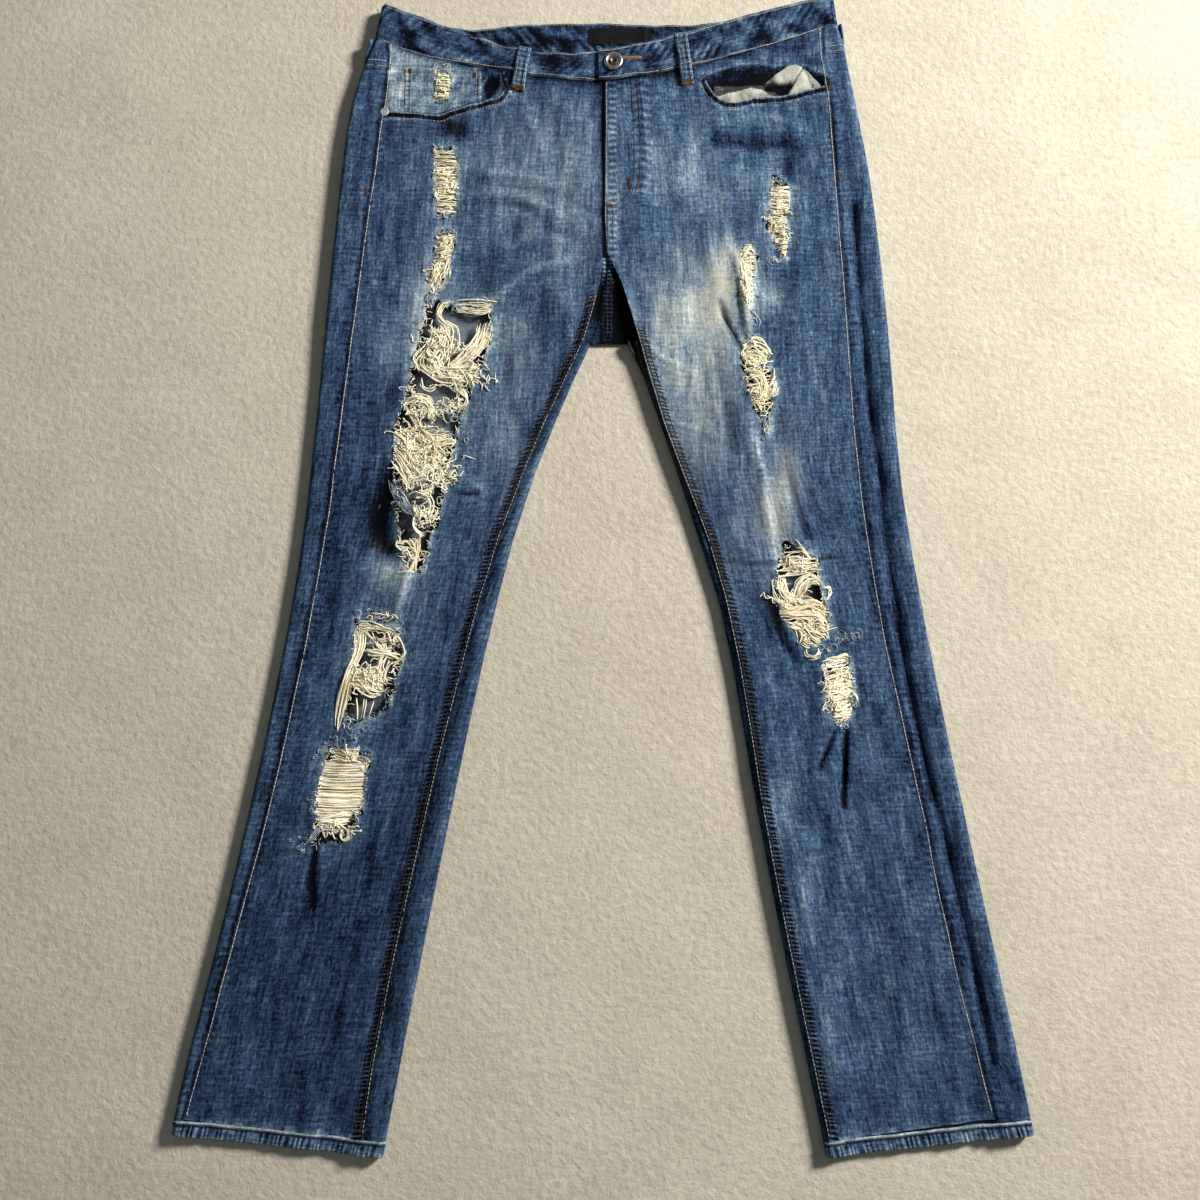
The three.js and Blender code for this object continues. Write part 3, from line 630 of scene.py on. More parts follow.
def denimFinish(name, lighter=0.0):
    look = denimLook
    material, shader, start = newFinish(name, Specular_IOR_Level=0.06)
    wear, dark, warm = (start.attribute(key) for key in ("wear", "dark", "warm"))
    inside, pucker, phase = (start.attribute(key) for key in ("inside", "pucker", "phase"))
    streak = start.cloth(0.42, 0.045).grain(4, 0.7)
    slub = start.cloth(0.16, 0.010).grain(2, 0.55)
    weft = start.cloth(0.055, 0.42).grain(4, 0.7)
    speck = start.cloth(0.42, 0.27).grain(5, 0.85)
    mottle = start.cloth(0.045, 0.025).grain(4, 0.55)
    uv = start.cloth(1.0, 1.0)
    twill = uv.node("ShaderNodeVectorMath", {"operation": "DOT_PRODUCT"}, {0: uv, 1: (8.2, 5.4, 0.0)}, 1)
    twill = (twill + speck * 3).maths("SINE")
    tick = (phase * (2 * math.pi) + speck * 2 + mottle * 4).maths("SINE")
    ladder = pucker * (tick * 0.5 - 0.16)
    tone = (wear * look["wear"] - dark * look["dark"] + streak * look["streak"] + slub * look["slub"]
            + weft * look["weft"] + speck * look["speck"] + mottle * look["mottle"] + ladder * 0.5
            + twill * 0.012 + (look["base"] + lighter))
    colour = tone.ramp(look["stops"])
    colour = colour.over(look["beige"], (warm * (streak * 2 + mottle * 2 + 0.6)).clamped())
    colour = colour.over(look["lining"], inside * (speck * 0.9 + 0.72 - dark * 1.0).clamped())
    relief = streak * 0.5 + weft * 0.5 + speck * 0.6 + twill * 0.12 + mottle * 0.8 + ladder * 1.3
    plug(shader, {"Base Color": colour, "Roughness": (streak * 0.25 + 0.86).clamped(),
                  "Normal": start.bump(relief, 0.55, 0.45)})
    return material


def threadFinish(name, stops, warmColour, roughness=0.8, sheen=0.1, relief=0.3):
    material, shader, start = newFinish(name, Specular_IOR_Level=0.25, Sheen_Weight=sheen)
    place = start.node("ShaderNodeTexCoord", output=3)
    fuzz = place.grain(3, 0.6, 900.0)
    blotch = place.grain(2, 0.5, 90.0)
    colour = (start.attribute("shade") + fuzz * 0.7 + blotch * 0.5).ramp(stops)
    colour = colour.over(warmColour, (start.attribute("warm") + blotch * 0.3).clamped())
    plug(shader, {"Base Color": colour, "Roughness": (fuzz * 0.2 + roughness).clamped(),
                  "Normal": start.bump(fuzz, 0.5, relief)})
    return material


def metalFinish(name, bright, dull, roughness):
    material, shader, start = newFinish(name, Metallic=1.0)
    place = start.node("ShaderNodeTexCoord", output=3)
    brushed = place.grain(4, 0.6, 700.0)
    patina = place.grain(2, 0.5, 260.0).between(-0.1, 0.2)
    colour = patina.ramp([(0.0, bright), (1.0, dull)])
    plug(shader, {"Base Color": colour, "Roughness": (brushed * 0.3 + patina * 0.15 + roughness).clamped(),
                  "Normal": start.bump(brushed, 0.2, 0.1)})
    return material


def plainClothFinish(name, stops, weave=1.4, relief=0.2, sheen=0.1):  # pocketing and ribbon
    material, shader, start = newFinish(name, Specular_IOR_Level=0.15, Sheen_Weight=sheen)
    warp = start.cloth(weave, 0.12).grain(2, 0.6)
    weft = start.cloth(0.12, weave).grain(2, 0.6)
    blotch = start.cloth(0.08, 0.08).grain(4, 0.6)
    tone = warp * 0.5 + weft * 0.5 + blotch * 0.9 + 0.5 - start.attribute("dark")
    plug(shader, {"Base Color": tone.ramp(stops), "Roughness": (warp * 0.3 + 0.8).clamped(),
                  "Normal": start.bump(warp + weft, 0.4, relief)})
    return material


recipes = {
    "denim": (denimFinish,),
    "denim_faded": (denimFinish, 0.22),
    "rip_thread": (threadFinish, [(0.0, tint(212, 195, 152)), (0.35, tint(247, 238, 205)),
                                  (1.0, tint(255, 252, 233))], tint(218, 184, 132), 0.85, 0.2),
    "warp_curl": (threadFinish, [(0.0, tint(62, 80, 108)), (0.5, tint(140, 158, 176)),
                                 (1.0, tint(212, 216, 212))], tint(190, 186, 160), 0.85, 0.2),
    "topstitch_pale": (threadFinish, [(0.0, tint(134, 136, 130)), (1.0, tint(206, 202, 184))],
                       tint(190, 150, 100), 0.6, 0.0, 0.15),
    "topstitch_brown": (threadFinish, [(0.0, tint(20, 17, 20)), (1.0, tint(64, 46, 36))],
                        tint(150, 106, 50), 0.6, 0.0, 0.15),
    # the pocketing's darkest stop is reached in the bag's painted shade
    "pocketing": (plainClothFinish, [(0.0, tint(44, 46, 44)), (0.4, tint(164, 165, 154)),
                                     (1.0, tint(216, 216, 208))]),
    "label_black": (plainClothFinish, [(0.0, tint(2, 2, 3)), (1.0, tint(20, 20, 24))], 2.2, 0.1, 0.0),
    "zip_tape": (plainClothFinish, [(0.0, tint(22, 28, 42)), (1.0, tint(58, 70, 92))], 1.2, 0.2),
    "button_metal": (metalFinish, tint(214, 214, 212), tint(120, 116, 108), 0.28),
    "button_centre": (metalFinish, tint(120, 112, 100), tint(40, 36, 32), 0.4),
    "rivet_metal": (metalFinish, tint(240, 240, 236), tint(176, 172, 160), 0.48),
}
finishes = {name: make(name, *given) for name, (make, *given) in recipes.items()}
print("finishes made:", len(finishes))


def belong(made, slot, *nodes):  # attaches a piece to the root body and hides the nodes it stands for
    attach(made, "root")
    if nodes:
        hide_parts(*nodes)
    return made


# Front panels.
frontPanel = {"gap": 2.7, "fray": 0.72, "curl": 0.9, "flyRise": 1.1, "seamRise": 0.45,
              "mouthBand": 6.0, "inseamTicks": 3.5, "outseamTicks": 6.2, "flyTicks": 8.0}


def denser(loop, gap):  # a closed outline with points added along its sides
    parts = []
    for a, b in zip(loop, np.roll(loop, -1, axis=0)):
        share = np.linspace(0, 1, max(1, math.ceil(np.linalg.norm(b - a) / gap)), endpoint=False)[:, None]
        parts.append(a + (b - a) * share)
    return np.vstack(parts)


def within(x, y, loop):
    odd = np.zeros(len(x), bool)
    for (ax, ay), (bx, by) in zip(loop, np.roll(loop, -1, axis=0)):
        hit = (ay > y) != (by > y)
        odd[hit] ^= x[hit] < (bx - ax) * (y[hit] - ay) / (by - ay) + ax
    return odd


def closed(loop):
    return np.vstack([loop, loop[:1]])


def fillPlan(outer, holes, gap):  # even triangles between an outline and its holes
    low, high = outer.min(0), outer.max(0)
    grids = []
    for i, y in enumerate(np.arange(low[1], high[1], gap * 0.87)):
        row = np.arange(low[0] + (i % 2) * gap / 2, high[0], gap)
        grids.append(stack([row, np.full(len(row), y)]))
    inner = np.vstack(grids)
    inner = inner[within(*inner.T, outer)]
    for loop in [outer, *holes]:
        inner = inner[nearest(*inner.T, closed(loop))[0] > 0.55 * gap]
    for loop in holes:
        inner = inner[~within(*inner.T, loop)]
    loops, start = [], 0
    for loop in [outer, *holes]:
        loops.append(list(range(start, start + len(loop))))
        start += len(loop)
    spots = [Vector(p) for p in np.vstack([outer, *holes, inner])]
    points, _, faces, *_ = delaunay_2d_cdt(spots, [], loops, 2, 1e-4)
    points, faces = np.array(points), np.array([f for f in faces if len(f) == 3])
    a, b, c = (points[faces[:, i]] for i in range(3))
    turned = (b - a)[:, 0] * (c - a)[:, 1] - (b - a)[:, 1] * (c - a)[:, 0] < 0
    faces[turned] = faces[turned, ::-1]
    return points, faces


def frayed(loop, amount, dice):  # a torn edge: uneven, with a few deeper nicks
    loop = denser(loop, 1.3)
    ahead = np.roll(loop, -1, axis=0) - np.roll(loop, 1, axis=0)
    out = stack([ahead[:, 1], -ahead[:, 0]]) / np.linalg.norm(ahead, axis=1, keepdims=True)
    slow = np.convolve(dice.normal(0, 1.0, len(loop)), np.hanning(11), "same")
    push = dice.normal(0, amount * 0.5, len(loop)) + amount * slow
    return loop + out * push[:, None]


def mouthLine(name):  # the pocket mouth, as the run of the panel's outline beside the facing
    leg = legs[name]
    outline = planLoops(f"front_panel_{name}")[0]
    low, high = (np.array(corner)[:2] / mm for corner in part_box(f"pocket_facing_{name}"))
    reach = high[0] + 12 if leg["side"] < 0 else low[0] - 2
    edge = denser(outline, 4)
    seam = leg["outseam"](edge[:, 1])
    waist = crossing([f"front_panel_{name}"], 0, reach + leg["side"] * -6)[1]
    keep = (np.abs(edge[:, 0] - seam) > 2.5) & (edge[:, 1] > low[1] + 18) & (edge[:, 1] < waist - 3)
    keep &= (edge[:, 0] - reach) * leg["side"] > -1
    chosen = edge[keep]
    return smoothPath(chosen[np.argsort(chosen[:, 0] * leg["side"])[::-1]][::3], 3)


rips = {}  # the torn outlines of each leg, from the waist down
for name in legs:
    holes = planLoops(f"front_panel_{name}")[1:]
    rips[name] = sorted(holes, key=lambda loop: -loop[:, 1].max())
mouths = {name: mouthLine(name) for name in legs}


def fromRips(name, x, y):  # distance to the nearest torn edge of a leg
    return np.min([nearest(x, y, closed(loop))[0] for loop in rips[name]], axis=0)


def frontLift(name, x, y):  # what the seams add to the front panel's height
    spec = frontPanel
    away = fromRips(name, x, y)
    lift = spec["curl"] * bell(away, 2.6) * (0.6 + 0.5 * waves(x, y, 12, 31))
    offIn = np.abs(legs[name]["inseam"](y) - x)
    lift += spec["seamRise"] * bell(offIn, 5) * (y < 240)
    if name == "left":
        lift += spec["flyRise"] * step(-x, -44, -33) * step(y, 236, 262)
    else:
        lift -= 1.0 * np.exp(-np.maximum(centreX - 1 - x, 0) / 4) * step(y, 236, 262)
    return lift


def frontPaint(name, x, y):
    leg, spec = legs[name], frontPanel
    wear, warm = shade(x, y)
    away = fromRips(name, x, y)
    patchy = 0.6 + 0.5 * waves(x, y, 14, 33)
    wear = wear + 0.34 * bell(away, 4.0) * patchy + 0.10 * bell(away, 14)
    offOut = np.abs(x - leg["outseam"](y))
    offIn = np.abs(x - leg["inseam"](y))
    offFly = np.abs(x - (flyEdge[0, 0] + flyWidth * 0.9)) if name == "left" else np.full(len(x), 99.0)
    mouth = nearest(x, y, mouths[name])
    thigh = step(leg["ticksFrom"] - y, 0, 12)
    pucker = 1.5 * step(8.5 - offIn, 0, 2.0) * step(offIn, 1.0, 2.2) * thigh
    phase = np.where(thigh > 0, y / spec["inseamTicks"] + 0.04 * offIn + 0.3 * waves(x * 0, y, 11, 36), 0)
    beside = step(9 - offOut, 0, 4) * step(offOut, 1.2, 2.5) * (y < 372)
    beside *= 0.35 + 0.65 * step(waves(x * 0, y, 60, 41 + leg["side"]), -0.5, 0.5)
    pucker += 0.38 * beside
    phase = np.where(beside > 0, y / spec["outseamTicks"], phase)
    fly = step(11 - offFly, 0, 4) * (y > 306) * (name == "left")
    pucker += 0.4 * fly
    wear = wear + 0.10 * fly - 0.16 * bell(offFly, 1.6) * (y > 306)
    phase = np.where(fly > 0, y / spec["flyTicks"] + 0.04 * offFly, phase)
    strip = (((x < flyEdge[0, 0] + 12) & (y > 244) & (name == "left"))
             * step(x, flyEdge[0, 0] + 1.5, flyEdge[0, 0] + 4))
    pucker += 0.6 * strip
    phase = np.where(strip > 0, y / 6.0, phase)
    above = (y - leg["hemInner"] - (leg["hemOuter"] - leg["hemInner"]) * (x - leg["inner"](y))
             / (leg["outer"](y) - leg["inner"](y)))
    wear = wear + 0.42 * np.exp(-np.maximum(above, 0) / 3.0) * (0.7 + 0.6 * waves(x, y, 9, 35)) * (y < -380)
    wear = wear + 0.10 * strip - 0.06 * bell(offFly, 4)
    band = step(spec["mouthBand"] + 0.6 - mouth[0], 0, 1.2)
    dark = 0.48 * band * step(mouth[0], 0.5, 1.6)
    pucker += 0.30 * band
    phase = np.where(band > 0, mouth[2] / 5.0, phase)
    wear = wear + 0.30 * bell(mouth[0] - spec["mouthBand"] - 0.6, 1.1) + 0.4 * bell(mouth[0], 1.0)
    dark += 0.22 * bell(offOut, 1.4) + 0.34 * step(8 - offIn, 0, 3) * thigh
    # painted shadow on the right panel under the fly's overlapping edge
    if name == "right":
        dark += 0.75 * np.exp(-np.maximum(centreX - 1.5 - x, 0) / 3.0) * step(y, 236, 262)
    # a dark seam line and painted shade below the waistband's lower edge
    top = step(y, 395, 420) * np.exp(-np.maximum(waistLine(x) - y, 0) / 5)
    dark += 0.55 * top
    return painted(len(x), wear=wear, warm=warm, dark=dark, pucker=pucker, phase=phase)


def waistLine(x):  # lower edge of the waistband at the front
    return np.interp(x, *waistEdge)


waistX = np.arange(-196.0, 207, 5)
waistEdge = (waistX, np.array([crossing(["waistband"], 0, x, 4.6)[0] for x in waistX]))

frontFills = {}
for name in legs:
    dice = np.random.default_rng(7 + legs[name]["side"])
    outer = denser(planLoops(f"front_panel_{name}")[0], 2.4)
    plan, faces = fillPlan(outer, [frayed(loop, frontPanel["fray"], dice) for loop in rips[name]],
                           frontPanel["gap"])
    x, y = plan.T
    points = stack([x, y, topHeight(x, y) + frontLift(name, x, y)])
    uv = stack([x - legAxis[name](y), y])
    frontFills[name] = shell(f"front_panel_{name}", points, faces, "denim", uv, frontPaint(name, x, y))
print("front panels:", [len(made.data.polygons) for made in frontFills.values()])


# Back panels and yokes: over the outseam, round each side and under the front.
backPanel = {"rowGap": 4.0, "stripSteps": 12, "rollSteps": 5, "underSteps": 30, "tuck": 3.0, "under": 1.1}
backFades = [(-110, 300, 60, 60, 0.22), (118, 300, 60, 60, 0.22), (-170, -60, 40, 70, 0.12),
             (175, -60, 40, 70, 0.12)]
backCreases = [  # soft troughs of the hidden side, in the same form as the upper ones; their last column paints shade into the troughs
    ([(-190, 196), (-120, 206), (-50, 194)], 8, 6, 0.9, 0.06),
    ([(60, 194), (130, 207), (200, 196)], 8, 6, 0.9, 0.06),
    ([(-226, -20), (-180, -28), (-130, -14)], 6, 6, 1.0, 0.05),
    ([(-236, -52), (-190, -60), (-140, -50)], 6, 7, 1.1, 0.05),
    ([(136, -22), (190, -30), (246, -16)], 6, 6, 1.0, 0.05),
    ([(140, -54), (196, -62), (252, -50)], 6, 7, 1.1, 0.05),
    ([(-180, 130), (-186, 60), (-200, 10)], 9, 9, 0.8, 0.03),
    ([(180, 130), (192, 60), (206, 10)], 9, 9, 0.8, 0.03),
    ([(-240, -180), (-266, -300), (-290, -430)], 10, 9, 0.9, 0.03),
    ([(236, -180), (262, -300), (290, -430)], 10, 9, 0.9, 0.03),
]
backPaths = [(smoothPath(points, 8), *rest) for points, *rest in backCreases]


def underHeight(x, y):  # middle of the under layer
    height = form["under"] + seatRise(y)
    for path, wideLeft, wideRight, rise, _ in backPaths:
        off, side, _ = nearest(x, y, path)
        height = height + rise * bell(off, np.where(side > 0, wideLeft, wideRight))
    return height


def underPaint(x, y):
    wear = 0.10 * waves(x, y, 30, 51, 3.0)
    for cx, cy, wide, tall, amount in backFades:
        wear = wear + amount * patch(x, y, cx, cy, wide, tall)
    # painted shade along the troughs of the hidden side
    for path, wideLeft, _, _, amount in backPaths:
        wear = wear - amount * bell(nearest(x, y, path)[0], wideLeft)
    return wear


def shadowed(name, x, y):  # painted shade on the inside of the under layer, beneath the torn edges
    return 0.75 * bell(fromRips(name, x, y), 7.0)


# x, y and layer along one row (0 top, 1 lower half, 2 under)
def sectionRow(leg, yOuter, yInner, withInner):
    spec, roll, side = backPanel, form["roll"], leg["side"]
    edge = leg["outer"](yOuter) - side * form["wall"] / 2
    seam = leg["outseam"](yOuter) - side * spec["tuck"]
    turn = np.linspace(0, math.pi / 2, spec["rollSteps"] + 1)
    strip = np.linspace(seam, edge - side * roll, spec["stripSteps"] + 1)[:-1]
    upper = edge - side * roll * (1 - np.sin(turn))
    lower = edge - side * roll * (1 - np.cos(turn[1:]))
    if withInner:
        inner = leg["inner"](yInner) + side * form["wall"] / 2
        start = inner + side * roll
        lowerIn = inner + side * roll * (1 - np.sin(turn[1:]))
        upperIn = inner + side * roll * (1 - np.cos(turn[1:]))
        tail = np.linspace(upperIn[-1], leg["inseam"](yInner) + side * spec["tuck"], 5)[1:]
    else:
        start = centreX + side * 0.3
        lowerIn, upperIn, tail = (np.full(n, np.nan) for n in (spec["rollSteps"], spec["rollSteps"], 4))
    under = np.linspace(edge - side * roll, start, spec["underSteps"] + 1)[1:]
    x = np.concatenate([strip, upper, lower, under, lowerIn, upperIn, tail])
    share = np.clip((x - edge) / (start - edge), 0, 1)
    ahead, behind = len(strip) + len(upper) + len(lower), len(lowerIn) + len(upperIn) + len(tail)
    y = np.concatenate([np.full(ahead, yOuter), (yOuter + (yInner - yOuter) * share)[ahead:][:len(under)],
                        np.full(behind, yInner)])
    layer = np.concatenate([np.zeros(len(strip) + len(upper)), np.ones(len(lower)), np.full(len(under), 2),
                            np.ones(len(lowerIn)), np.zeros(len(upperIn) + len(tail))])
    return x, y, layer


# a panel that wraps the leg, from rows of sections
def wrapped(name, pieceName, ends, lift=0.0, reach=None):
    leg = legs[name]
    side, roll = leg["side"], form["roll"]
    rows = [sectionRow(leg, yo, yi, withInner) for yo, yi, withInner in ends]
    x, y, layer = (np.array([row[i] for row in rows]) for i in range(3))
    if reach is not None:
        y = reach(x, y, layer)
    shape = x.shape
    x, y, layer = x.ravel(), y.ravel(), layer.ravel()
    there = ~np.isnan(x)
    z = np.zeros(len(x))
    top = there & (layer == 0)
    z[top] = topHeight(x[top], y[top]) + lift
    tuckOut = (leg["outseam"](y) - x) * side
    tuckIn = (x - leg["inseam"](y)) * side
    below = np.maximum(step(tuckOut, -1.2, 0.4), step(tuckIn, -0.6, 0.8) * (np.abs(tuckIn) < 6) * (y < 240))
    z[top] -= backPanel["under"] * below[top]
    half = there & (layer == 1)
    edgeOut = leg["outer"](y) - side * form["wall"] / 2
    edgeIn = leg["inner"](y) + side * form["wall"] / 2
    away = np.minimum(np.abs(x - edgeOut), np.where(y < foldY, np.abs(x - edgeIn), 99))
    z[half] = (form["under"] + seatRise(y) + roll * rounded(away, roll))[half]
    low = there & (layer == 2)
    z[low] = underHeight(x[low], y[low]) - lift / 2
    points = stack([x, y, z])
    cube = points.reshape(*shape, 3)
    across = np.linalg.norm(np.nan_to_num(np.diff(cube, axis=1)), axis=2).cumsum(1)
    across = stack([np.zeros(shape[0]), across]).ravel()
    faces = gridFaces(*shape)
    faces = faces[there[faces].all(axis=1)]
    keep = np.zeros(len(x), bool)
    keep[faces.ravel()] = True
    renumber = np.cumsum(keep) - 1
    points, faces, across, layer = points[keep], renumber[faces], across[keep], layer[keep]
    a, b, c = (points[faces[0, i]] for i in (0, 1, 2))
    if np.cross(b - a, c - a)[2] < 0:
        faces = faces[:, ::-1]
    x, y = points[:, 0], points[:, 1]
    wear, warm = shade(x, y)
    upperSide = layer < 2
    wear = np.where(upperSide, wear, underPaint(x, y))
    offOut, offIn = np.abs(x - leg["outseam"](y)), np.abs(x - leg["inseam"](y))
    near = step(9 - offOut, 0, 4) * (layer == 0) * (y < 420)
    pucker = 0.30 * near * (0.3 + 0.7 * step(waves(x * 0, y, 50, 61 + side), -0.4, 0.5))
    inner = step(7 - offIn, 0, 2) * (layer == 0) * (y < foldY)
    # dark seam line at the outseam; painted shade on the strip beside the inseam and on the lower half of
    # each side roll
    dark = 0.30 * bell(offOut - 1, 1.3) * (layer == 0) + 0.2 * inner + 0.12 * (layer == 1)
    # painted shadow on the left leg's back strip inside the inseam, between the thighs
    if side > 0:
        dark = dark + 0.55 * (layer < 2) * step(y, -40, 150) * (offIn < 26) * (y < foldY)
    paint = painted(len(x), wear=wear, warm=warm * upperSide, dark=dark, pucker=pucker, phase=y / 6.2)
    return shell(pieceName, points, faces, "denim", stack([across, y]), paint,
                 paintedShade=shadowed(name, x, y) * (layer > 1))


yokes = {}
for name, leg in legs.items():
    yokes[name] = {"outer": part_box(f"back_panel_{name}")[1].y / mm,
                   "inner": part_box(f"back_yoke_{name}")[0].y / mm}
    rows = int((yokes[name]["outer"] - leg["hemOuter"]) / backPanel["rowGap"])
    ends = []
    for v in spread(rows + 1):
        yOuter = yokes[name]["outer"] + (leg["hemOuter"] - 1.5 - yokes[name]["outer"]) * v
        yInner = yokes[name]["inner"] + (leg["hemInner"] - 1.5 - yokes[name]["inner"]) * v
        ends.append((yOuter, yInner, yInner < foldY - 1))
    wrapped(name, f"back_panel_{name}", ends)

backLine = (waistEdge[0], np.array([crossing(["waistband"], 0, x, high=4.6)[0] for x in waistEdge[0]]))
for name in legs:
    low = yokes[name]
    ends = [(low["outer"] - 2 + 2 * i, low["inner"] - 2 + 2 * i, False) for i in range(9)]

    def reach(x, y, layer):  # spread the rows up to the waistband
        share = spread(len(x))[:, None]
        upto = np.where(layer == 2, np.interp(x, *backLine), np.interp(x, *waistEdge))
        upto = np.where(layer == 1, (np.interp(x, *backLine) + np.interp(x, *waistEdge)) / 2, upto)
        return y[:1] + (np.where(np.isnan(x), 0, upto) + 1.0 - y[:1]) * share
    wrapped(name, f"back_yoke_{name}", ends, lift=0.45, reach=reach)
print("back panels and yokes made")


# The seat's fold between the legs.
# dark is the strength of the painted shade in the recess between the thighs
seatFold = {"low": 2.6, "columns": 19, "rows": 20, "topY": 250, "dark": 0.72}


def seatFoldCloth():
    spec = seatFold
    vs = spread(spec["rows"])
    rows = []
    for y in foldY - 1 + (spec["topY"] - foldY + 1) * vs:
        left = legs["right"]["inseam"](y) - 3.0
        right = legs["left"]["inseam"](y) + 3.0
        x = np.linspace(left, right, spec["columns"])
        edge = np.minimum(x - left, right - x)
        climb = step(np.full(len(x), y), foldY, spec["topY"])
        top = topHeight(x, np.full(len(x), y)) - 1.5
        z = spec["low"] + (top - spec["low"]) * np.maximum(climb ** 1.4, np.exp(-edge / 3.0) * 0.8)
        z += 0.5 * bell(x - centreX + 3, 2.2)
        rows.append(stack([x, np.full(len(x), y), np.minimum(z, top)]))
    first = rows[0]
    turned = []
    for angle in (1.2, 0.8, 0.4, 0.0):  # the fold itself, round and under
        turn = first.copy()
        turn[:, 1] = foldY - 1 - 1.6 * math.cos(angle)
        turn[:, 2] = (form["under"] + 0.6 + (first[:, 2] - form["under"] - 0.6)
                      * (0.5 + 0.5 * math.sin(angle)))
        turned.insert(0, turn)
    under = first.copy()
    under[:, 1] = foldY + 3
    under[:, 2] = form["under"] + seatRise(foldY) + 0.9
    cube = np.array([under, *turned, *rows])
    points = cube.reshape(-1, 3)
    x, y = points[:, 0], points[:, 1]
    uv = stack([x, np.repeat(runs(cube[:, 9]), spec["columns"])])
    # painted shade in the recess between the thighs, lifted along the centre seam's stitch column and at
    # the lower left
    dark = spec["dark"] * step(262 - y, 0, 40) * (1.0 + 0.5 * step(x, 8, 15))
    strip = step(x, 0, 2.5) * step(13 - x, 0, 2.5)
    dark = (dark - 0.52 * strip * (0.7 + 0.3 * step(y, 228, 238))
            - 0.50 * step(206 - y, 0, 16) * step(2 - x, 0, 4))
    across = bell(y - 229 - 0.2 * x, 1.6)
    points[:, 2] += 0.6 * across
    faces = gridFaces(*cube.shape[:2])
    return shell("seat_fold", points, faces, "denim", uv,
                 painted(len(points), dark=dark, wear=0.16 * bell(x - 1.5, 1.3) + 0.12 * across,
                         pucker=0.8 * strip, phase=y / 3.6))


seatFoldCloth()


# Hems.
hems = {"thick": 2.1, "press": 0.3, "ropePitch": 4.1, "ropeSlant": 0.03, "columns": 62}


def hemCloth(name):
    leg, spec = legs[name], hems
    side, roll = leg["side"], form["roll"] - 0.4
    sides = []
    for drop in (0, leg["hemDepth"]):
        yIn, yOut = leg["hemInner"] - drop, leg["hemOuter"] - drop
        inner = leg["inner"](yIn) + side * 0.9
        outer = leg["outer"](yOut) - side * 0.9
        top = np.linspace(inner + side * roll, outer - side * roll, spec["columns"])
        turn = np.linspace(math.pi / 2, -math.pi / 2, 12)
        out = outer - side * roll * (1 - np.cos(turn))
        inn = inner + side * roll * (1 - np.cos(turn))
        back = top[::-1][1:-1]
        x = np.concatenate([top, out[1:-1], back, inn[::-1][1:-1]])
        y = yIn + (yOut - yIn) * np.clip((x - inner) / (outer - inner), 0, 1)
        y = y + 0.3 * waves(x, y * 0, 14, 71) * (drop > 0)
        zTop = topHeight(x, y) + spec["press"]
        middle = form["under"] + 0.6 + roll
        z = np.concatenate([zTop[:len(top)], middle + roll * np.sin(turn[1:-1]),
                            np.full(len(back), form["under"] + 0.55), middle
                            + roll * np.sin(turn[::-1][1:-1])])
        upper = np.arange(len(x)) < len(top)
        z = np.where(upper, np.maximum(z, 4.6) - 0.5 * (drop > 0), z)
        sides.append(stack([x, y, z]))
    first, second = sides
    facing = np.zeros_like(first)
    count = len(top)
    facing[:count, 2] = 1
    facing[count + 10:count + 10 + len(back), 2] = -1
    facing[count:count + 10] = stack([side * np.cos(turn[1:-1]), 0 * turn[1:-1], np.sin(turn[1:-1])])
    facing[count + 10 + len(back):] = stack([-side * np.cos(turn[::-1][1:-1]), 0 * turn[1:-1],
                                             np.sin(turn[::-1][1:-1])])

    def paint(x, y, uv):
        across, along = uv.T
        wear = 0.14 + 0.32 * bell(across - 0.6, 1.3) + 0.30 * bell(across - leg["hemDepth"] + 0.5, 1.2)
        wear = wear - 0.40 * bell(across - 2.6, 1.0)
        return {"wear": wear + 0.04 + 0.12 * waves(x, y, 14, 72),
                "pucker": (0.7 + 0.4 * waves(along, along * 0, 17, 76)) * step(across, 2.8, 4.2),
                "phase": along / spec["ropePitch"] - across * spec["ropeSlant"]
                + 0.45 * waves(along, along * 0, 11, 75), "lining": 0.0}

    ribbon(f"hem_{name}", first, second, facing, spec["thick"], "denim", closed=True,
           wrinkle=lambda x, y: 0.22 * waves(x, y * 0, 6, 74) + 0.3 * waves(x, y, 20, 73),
           paint=paint)


for name in legs:
    hemCloth(name)


# Waistband.
waistband = {"thick": 2.3, "wrinkle": 0.95, "overRise": 2.5, "overEnd": -4.0, "flat": 20, "ramp": 46,
             "underEnd": 17.0, "splitZ": 4.6, "step": 3.0}


def atPoint(height, x, y):  # a height, at a single point
    return float(height(np.array([x]), np.array([y]))[0])


def bandEdges(x, low, high):  # y of the band's two long edges at x, on one of its sides
    ends = [crossing(["waistband"], 0, float(at), low, high) for at in x]
    return np.array([e[1] for e in ends]), np.array([e[0] for e in ends])


def bandTwist(x, y):  # the slanting ripples of a shrunk waistband
    return (waves((x + y) * 0.7, (y - x) * 0.7, 15, 81, 2.2) * waistband["wrinkle"] * 0.7
            + waves(x, y, 40, 82) * 0.7 * waistband["wrinkle"])


